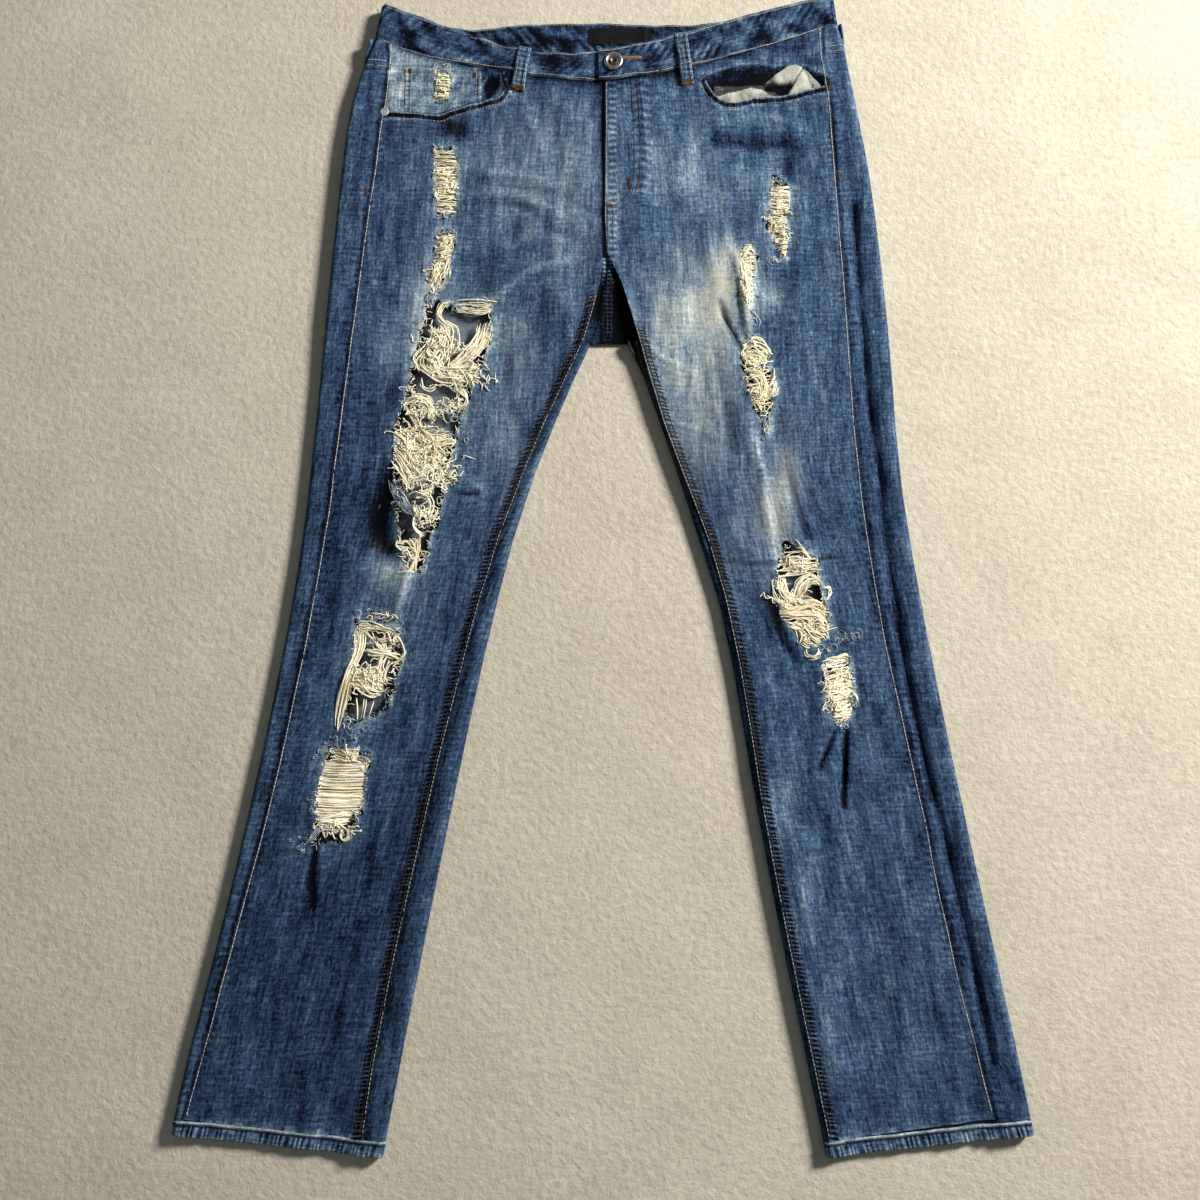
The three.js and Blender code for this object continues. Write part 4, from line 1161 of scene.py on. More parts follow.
def waistbandCloth():
    spec, roll = waistband, form["roll"]
    half, split = spec["thick"] / 2, spec["splitZ"]
    tops, lows, facings = [], [], []

    def column(top, low, facing):
        tops.append(top)
        lows.append(low)
        facings.append(facing)

    def flat(x, low, high, height, facing):
        yTop, yLow = bandEdges(x, low, high)
        slant = x * 7.0 / 200
        for at, top, bottom, lean, slope in zip(x, yTop, yLow, slant, np.gradient(yLow, x)):
            foot = at + lean
            footY = bottom + lean * slope
            column((at, top, height(at, top)), (foot, footY, height(foot, footY)), facing)

    def onTop(x, y):
        x, y = float(x), float(y)
        rise = spec["overRise"] * float(1 - step(x, spec["flat"], spec["ramp"])) if over else 0
        calm = float(step(math.hypot(x - 11, y - 434), 8, 26))
        return atPoint(topHeight, x, y) + 0.25 + rise + atPoint(bandTwist, x, y) * calm

    def corner(name, angles):
        leg = legs[name]
        for angle in angles:
            out = math.cos(angle)
            up = math.sin(angle)
            ends = []
            for topEdge in (True, False):
                share = (1 - up) / 2
                frontY, backY = cornerY[name][0 if topEdge else 1], cornerY[name][2 if topEdge else 3]
                y = frontY + (backY - frontY) * share
                x = float(leg["outer"](y)) - leg["side"] * (half + roll * (1 - out))
                ends.append((x, y, 6.42 + 3.72 * up))
            column(*ends, (leg["side"] * out, 0.0, up))

    inset = roll + half
    edges = {}
    cornerY = {}
    for name, leg in legs.items():
        x = leg["outer"](480) - leg["side"] * (inset + 1)
        front = crossing(["waistband"], 0, float(x), split)
        back = crossing(["waistband"], 0, float(x), high=split)
        edges[name] = float(x)
        cornerY[name] = (front[1] + 1, front[0] - 1, back[1] + 1, back[0] - 1)
    over = False
    flat(np.arange(spec["underEnd"], edges["right"], -spec["step"]), split, 99, onTop, (0.0, 0.0, 1.0))
    corner("right", np.linspace(math.pi / 2, -math.pi / 2, 13)[1:-1])
    flat(np.arange(edges["right"], edges["left"], spec["step"] * 1.3), -9, split,
         lambda x, y: 2.7 + 0.5 * atPoint(bandTwist, x, y + 60), (0.0, 0.0, -1.0))
    corner("left", np.linspace(-math.pi / 2, math.pi / 2, 13)[1:-1])
    over = True
    flat(np.arange(edges["left"], spec["overEnd"], -spec["step"]), split, 99, onTop, (0.0, 0.0, 1.0))
    first, second, facing = (np.array(edge) for edge in (tops, lows, facings))

    def paint(x, y, uv):
        across, along = uv.T
        width = across.max()
        edge = np.minimum(across, width - across)
        wear = 0.02 + 0.13 * waves(x, y, 18, 83, 1.0)
        wear += 0.32 * bell(across - 0.4, 1.0) + 0.12 * bell(edge, 2.5)
        # painted light and shade on the slanting ripples: lighter crests, darker troughs
        ripple = bandTwist(x, y)
        wear += 0.15 * ripple + 0.06 * step(x, 120, 200) - 0.04
        dark = (0.16 * (y > 452) * (np.abs(x) < 110) * step(110 - np.abs(x), 0, 30)
                + 0.20 * np.clip(-ripple - 0.2, 0, 1.4))
        return {"wear": wear, "dark": dark, "pucker": 0.55 * step(edge, 0.5, 3)
                * (0.4 + 0.6 * waves(x, y, 30, 84)), "phase": (along - across * 0.9) / 8.5}

    ribbon("waistband", first, second, facing, spec["thick"], "denim", rows=14, paint=paint)


waistbandCloth()
print("hems and waistband made")


# Pockets.
def mouthY(name, x):  # y of the pocket mouth's edge at x
    path = mouths[name]
    order = np.argsort(path[:, 0])
    return np.interp(x, path[order, 0], path[order, 1])


def lobes(x, y, spots):  # a sum of soft bumps: centre, half sizes, height
    total = np.zeros(len(x))
    for cx, cy, wide, tall, height in spots:
        total += height * patch(x, y, cx, cy, wide, tall)
    return total


facings = {
    "right": {"inner": -79, "sink": 1.3, "rows": 26, "columns": 44, "finish": "denim_faded",
              "bumps": [(-97, 412, 6.5, 8.5, -2.4), (-108, 414, 3.0, 12, 1.1), (-100, 423, 10, 2.6, 1.0),
                        (-92, 402, 5, 3.5, 1.2), (-186, 412, 7, 14, -0.5), (-141, 436, 8, 6, 0.9)]},
    "left": {"inner": 87, "sink": 0.2, "rows": 30, "columns": 50, "finish": "denim",
             "bumps": [(140, 446, 26, 4, 0.8), (120, 442, 10, 4, -0.8), (176, 446, 14, 5, -0.8)]},
}
leftArc = smoothPath([(86, 416), (96, 423.5), (117, 431), (137, 432.5), (154, 431), (166, 432), (180, 432),
                      (192, 426), (206, 417)], 2)
bagTop = np.array([(88, 413), (97, 413.5), (137, 413.8), (146, 414), (152, 420), (158, 425), (167, 431.5),
                   (174, 433), (182, 429), (190, 420.5), (197, 411.5), (204, 409)])
bagFold = np.array([(88, 393), (92, 397), (107, 403.6), (124, 408.6), (134, 411), (144, 409.4),
                    (152, 404.4), (164, 399)])


def facingCloth(name):
    spec, leg = facings[name], legs[name]
    side = leg["side"]
    outer = float(leg["outseam"](412)) + side * 2.5
    u, v = np.meshgrid(spread(spec["columns"]), spread(spec["rows"]))
    x0 = outer + (spec["inner"] - outer) * u
    low = mouthY(name, x0) - 5.0
    y = low + (waistLine(x0) + 1.5 - low) * v
    x = x0 + (leg["outseam"](np.minimum(y, 445)) - leg["outseam"](412)) * (1 - u)
    x, y, v = x.ravel(), y.ravel(), v.ravel()
    z = topHeight(x, y) - spec["sink"] * (1 - 0.8 * v) + lobes(x, y, spec["bumps"])
    # the bumps are painted lighter where they rise and darker where they sink
    wear = 0.10 * waves(x, y, 16, 91) + lobes(x, y, [(*spot, rise * 0.14) for *spot, rise in spec["bumps"]])
    # painted shade under the mouth's edge; a dark line, partly painted shade, at the waist seam
    dark = 0.30 * np.exp(-(y - mouthY(name, x)) / 2.5) + 0.4 * np.exp(-np.abs(waistLine(x) - y) / 3)
    if name == "left":
        arc = np.interp(x, leftArc[:, 0], leftArc[:, 1])
        # painted shade in the gaping pocket's cavity below the facing's lip, with a painted highlight along
        # the lip
        under = step(arc - y, -0.8, 1.6)
        z = z + 0.5 * bell(y - arc - 1, 3) - 3.0 * step(arc - y, -0.8, 9)
        dark = dark * (1 - under) + (0.34 + 0.34 * step(arc - y, 1, 13)) * under
        wear = wear + 0.08 + 0.24 * bell(y - arc - 1.2, 1.3) - 0.12 * patch(x, y, 165, 447, 16, 6)
    else:
        # painted shadow in the gap of the folded opening; the facing also darkens towards its inner end
        gap = patch(x, y, -97, 412, 8.0, 10) - 1.3 * patch(x, y, -91, 406, 4.5, 5)
        wear = (wear + 0.07 + 0.20 * step(-x, 150, 196) - 0.16 * step(x, -126, -96)
                + 0.4 * lobes(x, y, [(-91, 405, 4, 3.4, 1)]))
        dark = dark + 0.6 * step(gap + 0.12 * waves(x, y, 7, 93), 0.25, 0.6) + 0.16 * step(x, -132, -100)
    z = np.minimum(z, topHeight(x, y) + 1.2)
    points = stack([x, y, z])
    return shell(f"pocket_facing_{name}", points, gridFaces(*u.shape)[:, ::-side], spec["finish"],
                 points[:, :2], painted(len(x), wear=wear, dark=dark), wall=0.9)


bags = {"rows": 60, "columns": 84, "wall": 0.5, "sink": 2.1, "corner": 26}


def bagCloth(name):
    spec = bags
    low, high = boxOf(f"pocket_bag_{name}")
    u, v = np.meshgrid(spread(spec["columns"]), spread(spec["rows"]) ** 1.25)
    x0 = low[0] + (high[0] - low[0]) * u
    top = np.interp(x0, *bagTop.T) if name == "left" else mouthY(name, x0) - 3
    edge = np.minimum(u, 1 - u) * (high[0] - low[0])
    bottom = low[1] + spec["corner"] * rounded(edge, spec["corner"])
    y = top - (top - bottom) * v
    x, y, v = x0.ravel(), y.ravel(), v.ravel()
    upper = topHeight(x, y)
    z = np.minimum(np.maximum(upper - spec["sink"], 2.9), upper - 0.9)
    # painted shade where the bag runs under the front panel
    dark = 0.08 + 0.3 * step(mouthY(name, x) - y, 0, 8)
    if name == "left":
        shown = step(y - mouthY(name, x), -1.5, 3.5)
        split = 164.5 + (y - 401) * 0.56
        # painted shade: the lining behind the lit lobe, the hollow and fold lines between the lobes, and a
        # band under the mouth's edge
        behind = step(y - np.interp(x, *bagFold.T), -0.5, 1.0) * step(split - x, -0.5, 1.0)
        hollow = behind * step(x, 143, 149) * step(414.5 - y, -0.6, 1.0)
        facet = behind * step(y, 413.5, 415)
        folds = (lobes(x, y, [(178, 421, 9, 12, 2.2), (131, 402, 20, 7, 1.6)]) - 0.9 * behind
                 - 1.3 * hollow + 2.2 * facet)
        rumple = 0.35 * waves(x, y, 13, 95)
        z = np.where(shown > 0, z + (upper - 1.2 - z + folds + rumple) * shown, z)
        creased = np.abs(waves(x, y, 17, 96, 1.6))
        shade = 0.62 * behind * (1 - facet) + 0.38 * hollow + 0.34 * facet * step(158 - x, -2, 5)
        shade = shade + 0.5 * bell(x - split - 0.6, 0.9) + 0.3 * bell(x - 186 + (y - 420) * 0.4, 1.2)
        dark = dark + shown * (shade - 0.1 + 0.22 * bell(creased, 0.10))
        dark = dark + shown * 0.22 * np.exp(-(y - mouthY(name, x)) / 2.0)
    points = stack([x, y, z])
    paint = painted(len(x), dark=dark)
    return shell(f"pocket_bag_{name}", points, gridFaces(*u.shape)[:, ::-1], "pocketing",
                 points[:, :2], paint, wall=spec["wall"])


coinPocket = {"gap": 1.8, "lift": 0.75, "wall": 0.8, "fray": 0.35}


def coinPocketCloth():
    spec = coinPocket
    loops = planLoops("coin_pocket")
    outer = denser(loops[0], 1.6)
    plan, faces = fillPlan(outer, [frayed(loop, spec["fray"], np.random.default_rng(5))
                                   for loop in loops[1:]], spec["gap"])
    x, y = plan.T
    v = np.clip((y - mouthY("right", x)) / (waistLine(x) - mouthY("right", x)), 0, 1)
    z = topHeight(x, y) - facings["right"]["sink"] * (1 - 0.8 * v) + spec["lift"]
    z = z + lobes(x, y, facings["right"]["bumps"]) * 0.7 + 0.35 * bell(y - 429, 2.2)
    rip = bell(x + 142.5, 9) * step(y, 392, 402)
    z = z + 0.5 * rip * waves(x, y, 9, 97)
    low, high = plan.min(0), plan.max(0)
    edge = np.minimum(x - low[0], high[0] - x)
    hem = high[1] - y
    wear = 0.16 + 0.24 * bell(hem, 0.9) + 0.26 * bell(edge, 0.9) + 0.28 * rip + 0.12 * waves(x, y, 12, 98)
    dark = 0.20 * bell(hem - 4.2, 1.1) + 0.18 * bell(edge - 4.0, 1.0)
    dark = dark + 0.12 * step(x, -132, -110)
    return shell("coin_pocket", stack([x, y, z]), faces, "denim_faded", plan,
                 painted(len(x), wear=wear - 0.1, dark=dark, pucker=0.5 * bell(edge, 4), phase=y / 4.5),
                 wall=spec["wall"])


def backPocketCloth(name):
    outer = denser(planLoops(f"back_pocket_{name}")[0], 3.0)
    plan, faces = fillPlan(outer, [], 4.0)
    x, y = plan.T
    away = nearest(x, y, closed(outer))[0]
    centre = plan.mean(0)
    z = 0.86 - 0.24 * bell(away, 3)
    wear = 0.22 * bell(away, 1.2) + 0.14 * patch(x, y, *centre, 40, 50)
    top = plan[:, 1].max() - y
    dark = 0.16 * bell(away - 8.5, 1.2) + 0.1 * bell(top - 16, 1.4)
    return shell(f"back_pocket_{name}", stack([x, y, z]), faces[:, ::-1], "denim", plan,
                 painted(len(x), wear=wear, dark=dark, pucker=0.5 * bell(away - 5, 3.5), phase=y / 6.0),
                 wall=0.9)


for name in legs:
    facingCloth(name)
    bagCloth(name)
    backPocketCloth(name)
coinPocketCloth()
print("pockets made")


# Belt loops, label and metal.
loops = {"width": 11.5, "thick": 1.5, "front": {"right": ((-68, 451), (-74.5, 408)),
                                                "left": ((71, 464), (77.5, 415))}}


def loopCloth(name, top, foot, height, facing, finish):
    share = spread(34)[:, None]
    middle = np.array(top) + (np.array(foot) - np.array(top)) * share
    heading = (middle[-1] - middle[0]) / np.linalg.norm(middle[-1] - middle[0])
    across = np.array((-heading[1], heading[0]))
    half = loops["width"] / 2 * (1 - 0.05 * np.sin(share * 3.14))
    sides = []
    for sign in (1, -1):
        edge = middle + sign * across * half
        sides.append(stack([edge, height(edge, share[:, 0])]))

    def paint(x, y, uv):
        edge = np.minimum(uv[:, 0], loops["width"] - uv[:, 0])
        ends = np.minimum(uv[:, 1], uv[:, 1].max() - uv[:, 1])
        wear = 0.30 * bell(edge, 1.0) + 0.12 * bell(edge - 5.7, 1.6) + 0.25 * bell(ends, 2)
        return {"wear": wear - 0.12, "dark": 0.30 * bell(edge - 3, 1.1), "pucker": 0.4,
                "phase": uv[:, 1] / 5}
    return ribbon(name, *sides, np.tile(facing, (len(middle), 1)), loops["thick"], finish,
                  wrinkle=lambda x, y: 0.22 * waves(x, y, 11, 101), paint=paint)


for name, (top, foot) in loops["front"].items():
    def loopHeight(edge, share):  # over the band, arched, and down to its foot
        base = topHeight(*edge.T) + 0.25 + 1.15 + 1.05
        arch = 1.1 * np.sin(np.clip(share, 0, 1) * math.pi) ** 0.7
        return base + arch - 1.3 * step(share, 0.86, 1.0) - 3.2 * step(0.10 - share, 0, 0.10) ** 1.5
    loopCloth(f"belt_loop_front_{name}", top, foot, loopHeight, (0.0, 0.0, 1.0), "denim_faded")
for place in ("right", "centre", "left"):
    low, high = boxOf(f"belt_loop_back_{place}")
    middle = (low[0] + high[0]) / 2
    loopCloth(f"belt_loop_back_{place}", (middle, high[1]), (middle, low[1]),
              lambda edge, share: np.full(len(edge), 0.85), (0.0, 0.0, -1.0), "denim")


def backBandHeight(x, y):
    return 2.7 + 0.5 * bandTwist(x, y + 60)


labelLeft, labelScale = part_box("waist_label")[0].x / mm, 0.88


def tagCloth(node, bow, dark):  # a bare woven label sewn inside the back of the waistband
    low, high = boxOf(node)
    start = labelLeft + (low[0] - labelLeft) * labelScale
    x = np.linspace(start, start + (high[0] - low[0]) * labelScale, 30)
    low, high = (start, low[1]), (x[-1], high[1])
    sides = []
    for y in (high[1] + 2.0, low[1] + 0.5):
        edge = np.full(len(x), y) + bow * np.sin((x - low[0]) / (high[0] - low[0]) * math.pi)
        z = backBandHeight(x, edge) + 1.15 + 0.42 + 0.25 * np.sin((x - low[0]) / (high[0] - low[0]) * 7.0)
        sides.append(stack([x, edge, z]))
    return ribbon(node, *sides, np.tile((0.0, 0.0, 1.0), (len(x), 1)), 0.5, "label_black", rows=5,
                  paint=lambda x, y, uv: {"dark": dark})


tagCloth("waist_label", 0.8, 0.0)
tagCloth("size_tab", 0.3, -0.12)


# a turned part from pairs of radius and height above its foot
def lathe(name, profile, centre, foot, finish, slot, nodes, steps=64):
    profile = [(r, foot + z) for r, z in profile]
    turn = np.arange(steps) / steps * 2 * math.pi
    rows = [stack([centre[0] + r * np.cos(turn), centre[1] + r * np.sin(turn), np.full(steps, z)])
            for r, z in profile[1:-1]]
    tips = [(centre[0], centre[1], profile[0][1]), (centre[0], centre[1], profile[-1][1])]
    points = np.vstack([*rows, tips])
    ring = np.arange(steps)
    last = (len(rows) - 1) * steps
    start = stack([np.full(steps, len(points) - 2), np.roll(ring, -1), ring])
    end = stack([np.full(steps, len(points) - 1), ring + last, np.roll(ring, -1) + last])
    walls = gridFaces(len(rows), steps, ring=True)
    made = piece(name, points, [start, walls, end], finishes[finish], None, None, sharp=35)
    return belong(made, slot, *nodes)


button = {"centre": (11, 434), "foot": 10.9}
lathe("button_ring", [(0, 0), (5.0, 0), (7.6, 0), (8.4, 0.5), (8.6, 1.2), (8.3, 1.9), (7.6, 2.45),
                      (6.7, 2.65), (5.9, 2.45), (5.3, 1.9), (5.0, 1.2), (4.6, 0.9),
                      (0, 0.9)], button["centre"], button["foot"], "button_metal", "button_metal",
      ["button"])
lathe("button_boss", [(0, 0.9), (3.9, 0.9), (4.1, 1.3), (3.8, 1.8), (3.2, 2.0), (2.5, 1.9),
                      (1.9, 1.4), (1.5, 1.15), (0, 1.1)], button["centre"], button["foot"], "button_centre",
      "button_centre", ["button_centre"])
rivetLow, rivetHigh = boxOf("rivet")
rivetSpot = (rivetLow + rivetHigh)[:2] / 2
base = atPoint(topHeight, *rivetSpot) + 0.4
lathe("rivet_cap", [(0, 0), (3.6, 0), (3.9, 0.35), (3.7, 0.8), (3.0, 1.1), (2.2, 0.95),
                    (1.5, 0.8), (0.8, 1.0), (0, 1.15)], rivetSpot, base, "rivet_metal", "rivet_metal",
      ["rivet"], steps=40)
for slotOf in frame["nodes"]["fly_zip"].material_slots:
    slotOf.material = finishes["zip_tape"]
print("loops, label and metal made")


# Stitches, dropped on the finished cloth.
def castTree(objects):
    points, faces, start = [], [], 0
    for made in objects:
        mesh = made.data
        co = np.empty(len(mesh.vertices) * 3, np.float32)
        mesh.vertices.foreach_get("co", co)
        points.append(co.reshape(-1, 3) / mm)
        faces += [[v + start for v in polygon.vertices] for polygon in mesh.polygons]
        start += len(mesh.vertices)
    return BVHTree.FromPolygons(np.vstack(points).tolist(), faces)


clothTree = castTree(cloths.values())


def surface(x, y, below=False):  # height of the outermost cloth, from above or from below
    origin, heading = (-20.0, 1.0) if below else (40.0, -1.0)
    found = []
    for px, py in zip(x, y):
        hit = clothTree.ray_cast(Vector((px, py, origin)), Vector((0, 0, heading)))[0]
        found.append(hit.z if hit is not None else (0.6 if below else -50.0))
    return np.array(found)


def beside(path, gap):  # a path moved to its left, or to its right where gap is negative
    path = np.array(path, float)
    ahead = np.gradient(path, axis=0)
    ahead /= np.maximum(np.linalg.norm(ahead, axis=1, keepdims=True), 1e-9)
    return path + stack([-ahead[:, 1], ahead[:, 0]]) * gap


def along(path, at):  # points at given runs along a path
    run = runs(path)
    return stack([np.interp(at, run, path[:, 0]), np.interp(at, run, path[:, 1])])


stitchLook = {"pitch": 3.2, "long": 2.8, "rise": 0.16, "dip": 0.34, "missing": 0.03}
stitchKinds = {"pale": {"lines": [], "warm": [], "size": []},
               "brown": {"lines": [], "warm": [], "size": []}}


def addStitches(kind, starts, ends, warm=0.0, size=0.33, below=False, rise=0.0):
    t = np.array([0.0, 0.3, 0.7, 1.0])[None, :, None]
    flat = starts[:, None] * (1 - t) + ends[:, None] * t
    height = surface(flat[..., 0].ravel(), flat[..., 1].ravel(), below).reshape(flat.shape[:2])
    top = np.sort(height, axis=1)[:, 1:].mean(1, keepdims=True)
    away = (height - top) * (-1 if below else 1)
    arch = np.array([-stitchLook["dip"], stitchLook["rise"], stitchLook["rise"], -stitchLook["dip"]]) + rise
    keep = (np.abs(away).max(1) < 2.2) & (height.min(1) > -9)
    z = (height + (arch if not below else -arch))[keep]
    z = np.maximum(z, size) if below else z
    kept = stitchKinds[kind]
    kept["lines"].append(np.dstack([flat[keep], z]))
    kept["warm"].append(np.full(keep.sum(), warm))
    kept["size"].append(np.full(keep.sum(), size))


# a row of stitches along a path
def seam(kind, path, pitch=None, length=None, warm=0.0, size=0.33, below=False):
    pitch, length = pitch or stitchLook["pitch"], length or stitchLook["long"]
    path = np.array(path, float)
    at = np.arange(0.5, runs(path)[-1] - length, pitch)
    at = at + rng.uniform(-0.15, 0.15, len(at))
    at = at[rng.uniform(0, 1, len(at)) > stitchLook["missing"]]
    if len(at):
        addStitches(kind, along(path, at), along(path, at + length), warm, size, below)


# a dense bar of stitches
def tack(centre, heading, length=8.0, width=2.4, warm=0.22, kind="brown", size=0.42):
    heading = np.array(heading, float) / np.hypot(*heading)
    across = np.array((-heading[1], heading[0]))
    at = np.arange(-length / 2, length / 2, 0.62)[:, None]
    middle = np.array(centre) + at * heading
    slant = heading * 0.3
    addStitches(kind, middle - across * width / 2 - slant, middle + across * width / 2 + slant, warm, size,
                rise=0.25)


def column(xOf, low, high, gap=6.0):  # a path down the cloth, at one x or at x given by y
    y = np.arange(high, low, -gap)
    return stack([xOf(y) if callable(xOf) else np.full(len(y), xOf), y])


bandX = np.arange(-190.0, 200, 6)
bandTopY, bandLowY = bandEdges(bandX, waistband["splitZ"], 99)
seam("pale", stack([bandX + bandX * 0.02, bandTopY - 2.2]), warm=0.2, size=0.36)
seam("pale", stack([bandX + bandX * 0.034, bandLowY + 2.0]), warm=0.25, size=0.42)
insideX = np.arange(-118.0, 130, 6)
insideTopY, insideLowY = bandEdges(insideX, -9, waistband["splitZ"])
seam("pale", stack([insideX, insideTopY - 2.0]), warm=0.7)
for name, leg in legs.items():
    side = leg["side"]
    outY, inY = waistLine(leg["outseam"](430)), leg["ticksFrom"] - 6
    seam("pale", column(lambda y: leg["outseam"](y) - side * 1.7, leg["hemOuter"] + 1, outY - 1), size=0.42)
    for gap in (2.6, 6.6):
        seam("brown", column(lambda y: leg["inseam"](y) + side * gap, leg["hemInner"] + 1, inY), size=0.40)
    seam("pale", column(lambda y: leg["inseam"](y) + side * 0.5, leg["hemInner"] + 1, inY), 3.6, 2.9,
         size=0.26)
    t = spread(40)
    for drop, kind, size in ((2.6, "brown", 0.55), (0.9, "pale", 0.24)):
        inX, outX = leg["inner"](leg["hemInner"]), leg["outer"](leg["hemOuter"])
        hemRow = stack([inX + (outX - inX) * t, leg["hemInner"] + (leg["hemOuter"] - leg["hemInner"]) * t
                        - drop])
        seam(kind, hemRow, 3.4, 2.9, size=size)
        seam(kind, hemRow, 3.4, 2.9, size=size, below=True)
    for gap in (1.2, 6.2):
        seam("pale", beside(mouths[name], side * gap), 3.0, 2.3, warm=0.15 if gap > 2 else 0.0, size=0.30)
    border = planLoops(f"back_pocket_{name}")[0]
    ring = closed(border)
    for gap in (2.0, 7.5):
        centre = border.mean(0)
        inward = ring + (centre - ring) * gap / np.linalg.norm(centre - ring, axis=1, keepdims=True) * 1.25
        seam("brown", inward, size=0.36, below=True)
    for gap in (2.0, 7.0):
        yokeLine = np.array([(leg["outer"](yokes[name]["outer"]) - side * 5, yokes[name]["outer"] + gap),
                             (centreX + side * 3, yokes[name]["inner"] + gap)])
        seam("brown", along(yokeLine, np.linspace(0, runs(yokeLine)[-1], 40)), size=0.36, below=True)
    seam("brown", column(centreX + side * 2.6, foldY + 2, 440), size=0.36, below=True)
    for gap in (0.6, 5.6):
        x = np.linspace(leg["outseam"](430) + side * 0.5, leg["outer"](440) - side * 0.5, 8)
        seam("pale", stack([x, yokes[name]["outer"] + gap + 0 * x]), 2.8, 2.3, size=0.42)
for fly, size in (([(26.8, 419), (29, 363), (29, 330), (24.6, 312), (14, 301), (5, 298)], 0.52),
                  ([(32, 419), (34.5, 363), (33.5, 325), (27, 306), (17, 296), (5, 293)], 0.46)):
    seam("brown", smoothPath(fly, 4), size=size)
seam("pale", column(flyEdge[0, 0] + 1.6, 306, 416), size=0.32, warm=0.1)
seam("pale", column(flyEdge[0, 0] + 0.6, 250, 306), 3.4, 2.6, size=0.26)
for gap in (2.4, 6.8):
    seam("brown", column(flyEdge[0, 0] + gap, 250, 300), size=0.38)
for gap in (1.2, 5.0):
    seam("brown", column(centreX + gap, foldY, 246), size=0.32)
seam("brown", [(-6, 226), (20, 231)], size=0.32)
for gap in (1.4, 4.8):
    seam("pale", [(-175 + gap, 428), (-175 + gap, 408), (-175 + gap, 386)], 2.8, 2.1, size=0.27)
    seam("pale", [(-107 - gap, 427), (-107 - gap, 410), (-107 - gap, 400)], 2.8, 2.1, size=0.27, warm=0.3)
for gap in (1.2, 6.0):
    seam("pale", [(-174, 430 - gap), (-151, 430 - gap)], 2.8, 2.1, size=0.27, warm=0.3)
    seam("pale", [(-134, 429.5 - gap), (-109, 427 - gap)], 2.8, 2.1, size=0.27, warm=0.3)
for centre, heading, length in (((-207, 312), (0.1, 1), 7), ((210, 327), (0, 1), 7), ((4, 306), (0, 1), 8),
                                ((25, 321), (0.1, 1), 7), ((-171, 427), (0, 1), 4),
                                ((-113, 423), (0.2, 1), 4), ((84, 431), (0, 1), 4),
                                ((204, 411), (0, 1), 6), ((6, 300), (1, 0), 8)):
    tack(centre, heading, length)
for name, (top, foot) in loops["front"].items():
    tack((foot[0], foot[1] + 2.2), (1, 0.12), 10, 2.8)
    tack((foot[0] + 1, foot[1] - 0.6), (1, 0.12), 10, 2.0, warm=0.2)
    for gap in (-3.6, 3.6):
        seam("pale", beside([top, foot], gap)[::-1], 2.8, 2.2, size=0.24)
tack((27.6, 438.0), (1, 0.05), 17, 2.6, warm=0.75)
for kind, kept in stitchKinds.items():
    made = tubes(f"topstitch_{kind}", np.vstack(kept["lines"]), np.concatenate(kept["size"]),
                 finishes[f"topstitch_{kind}"], sides=4, warms=np.concatenate(kept["warm"]))
    belong(made, "denim")
    print("stitches,", kind, len(np.vstack(kept["lines"])))


# The torn threads.
# Bundles: two guides, the number of threads between them, and what differs from threadLook.
strands = {}
strands["rightHip"] = [
    ([(-142, 311), (-147, 311), (-147, 306), (-142, 305)],
     [(-143, 310), (-146, 310), (-146, 307), (-142, 306)], 3),
    ([(-141, 297), (-142, 291), (-139, 287), (-133, 289)],
     [(-132, 298), (-134, 293), (-136, 289), (-139, 288)], 8, {"cool": 1, "shade": 0.4}),
]
strands["rightFork"] = [
    ([(-141, 252), (-145, 243), (-150, 228), (-150, 223)],
     [(-130, 252), (-134, 241), (-139, 230), (-141, 223)], 14, {"wobble": 1.2}),
    ([(-134, 243), (-131, 236), (-130, 230)], [(-137, 243), (-135, 238), (-139, 232)], 5),
    ([(-149, 221), (-152, 214), (-151, 206)],
     [(-142, 221), (-145, 214), (-147, 207)], 9, {"cool": 1, "shade": 0.45}),
]
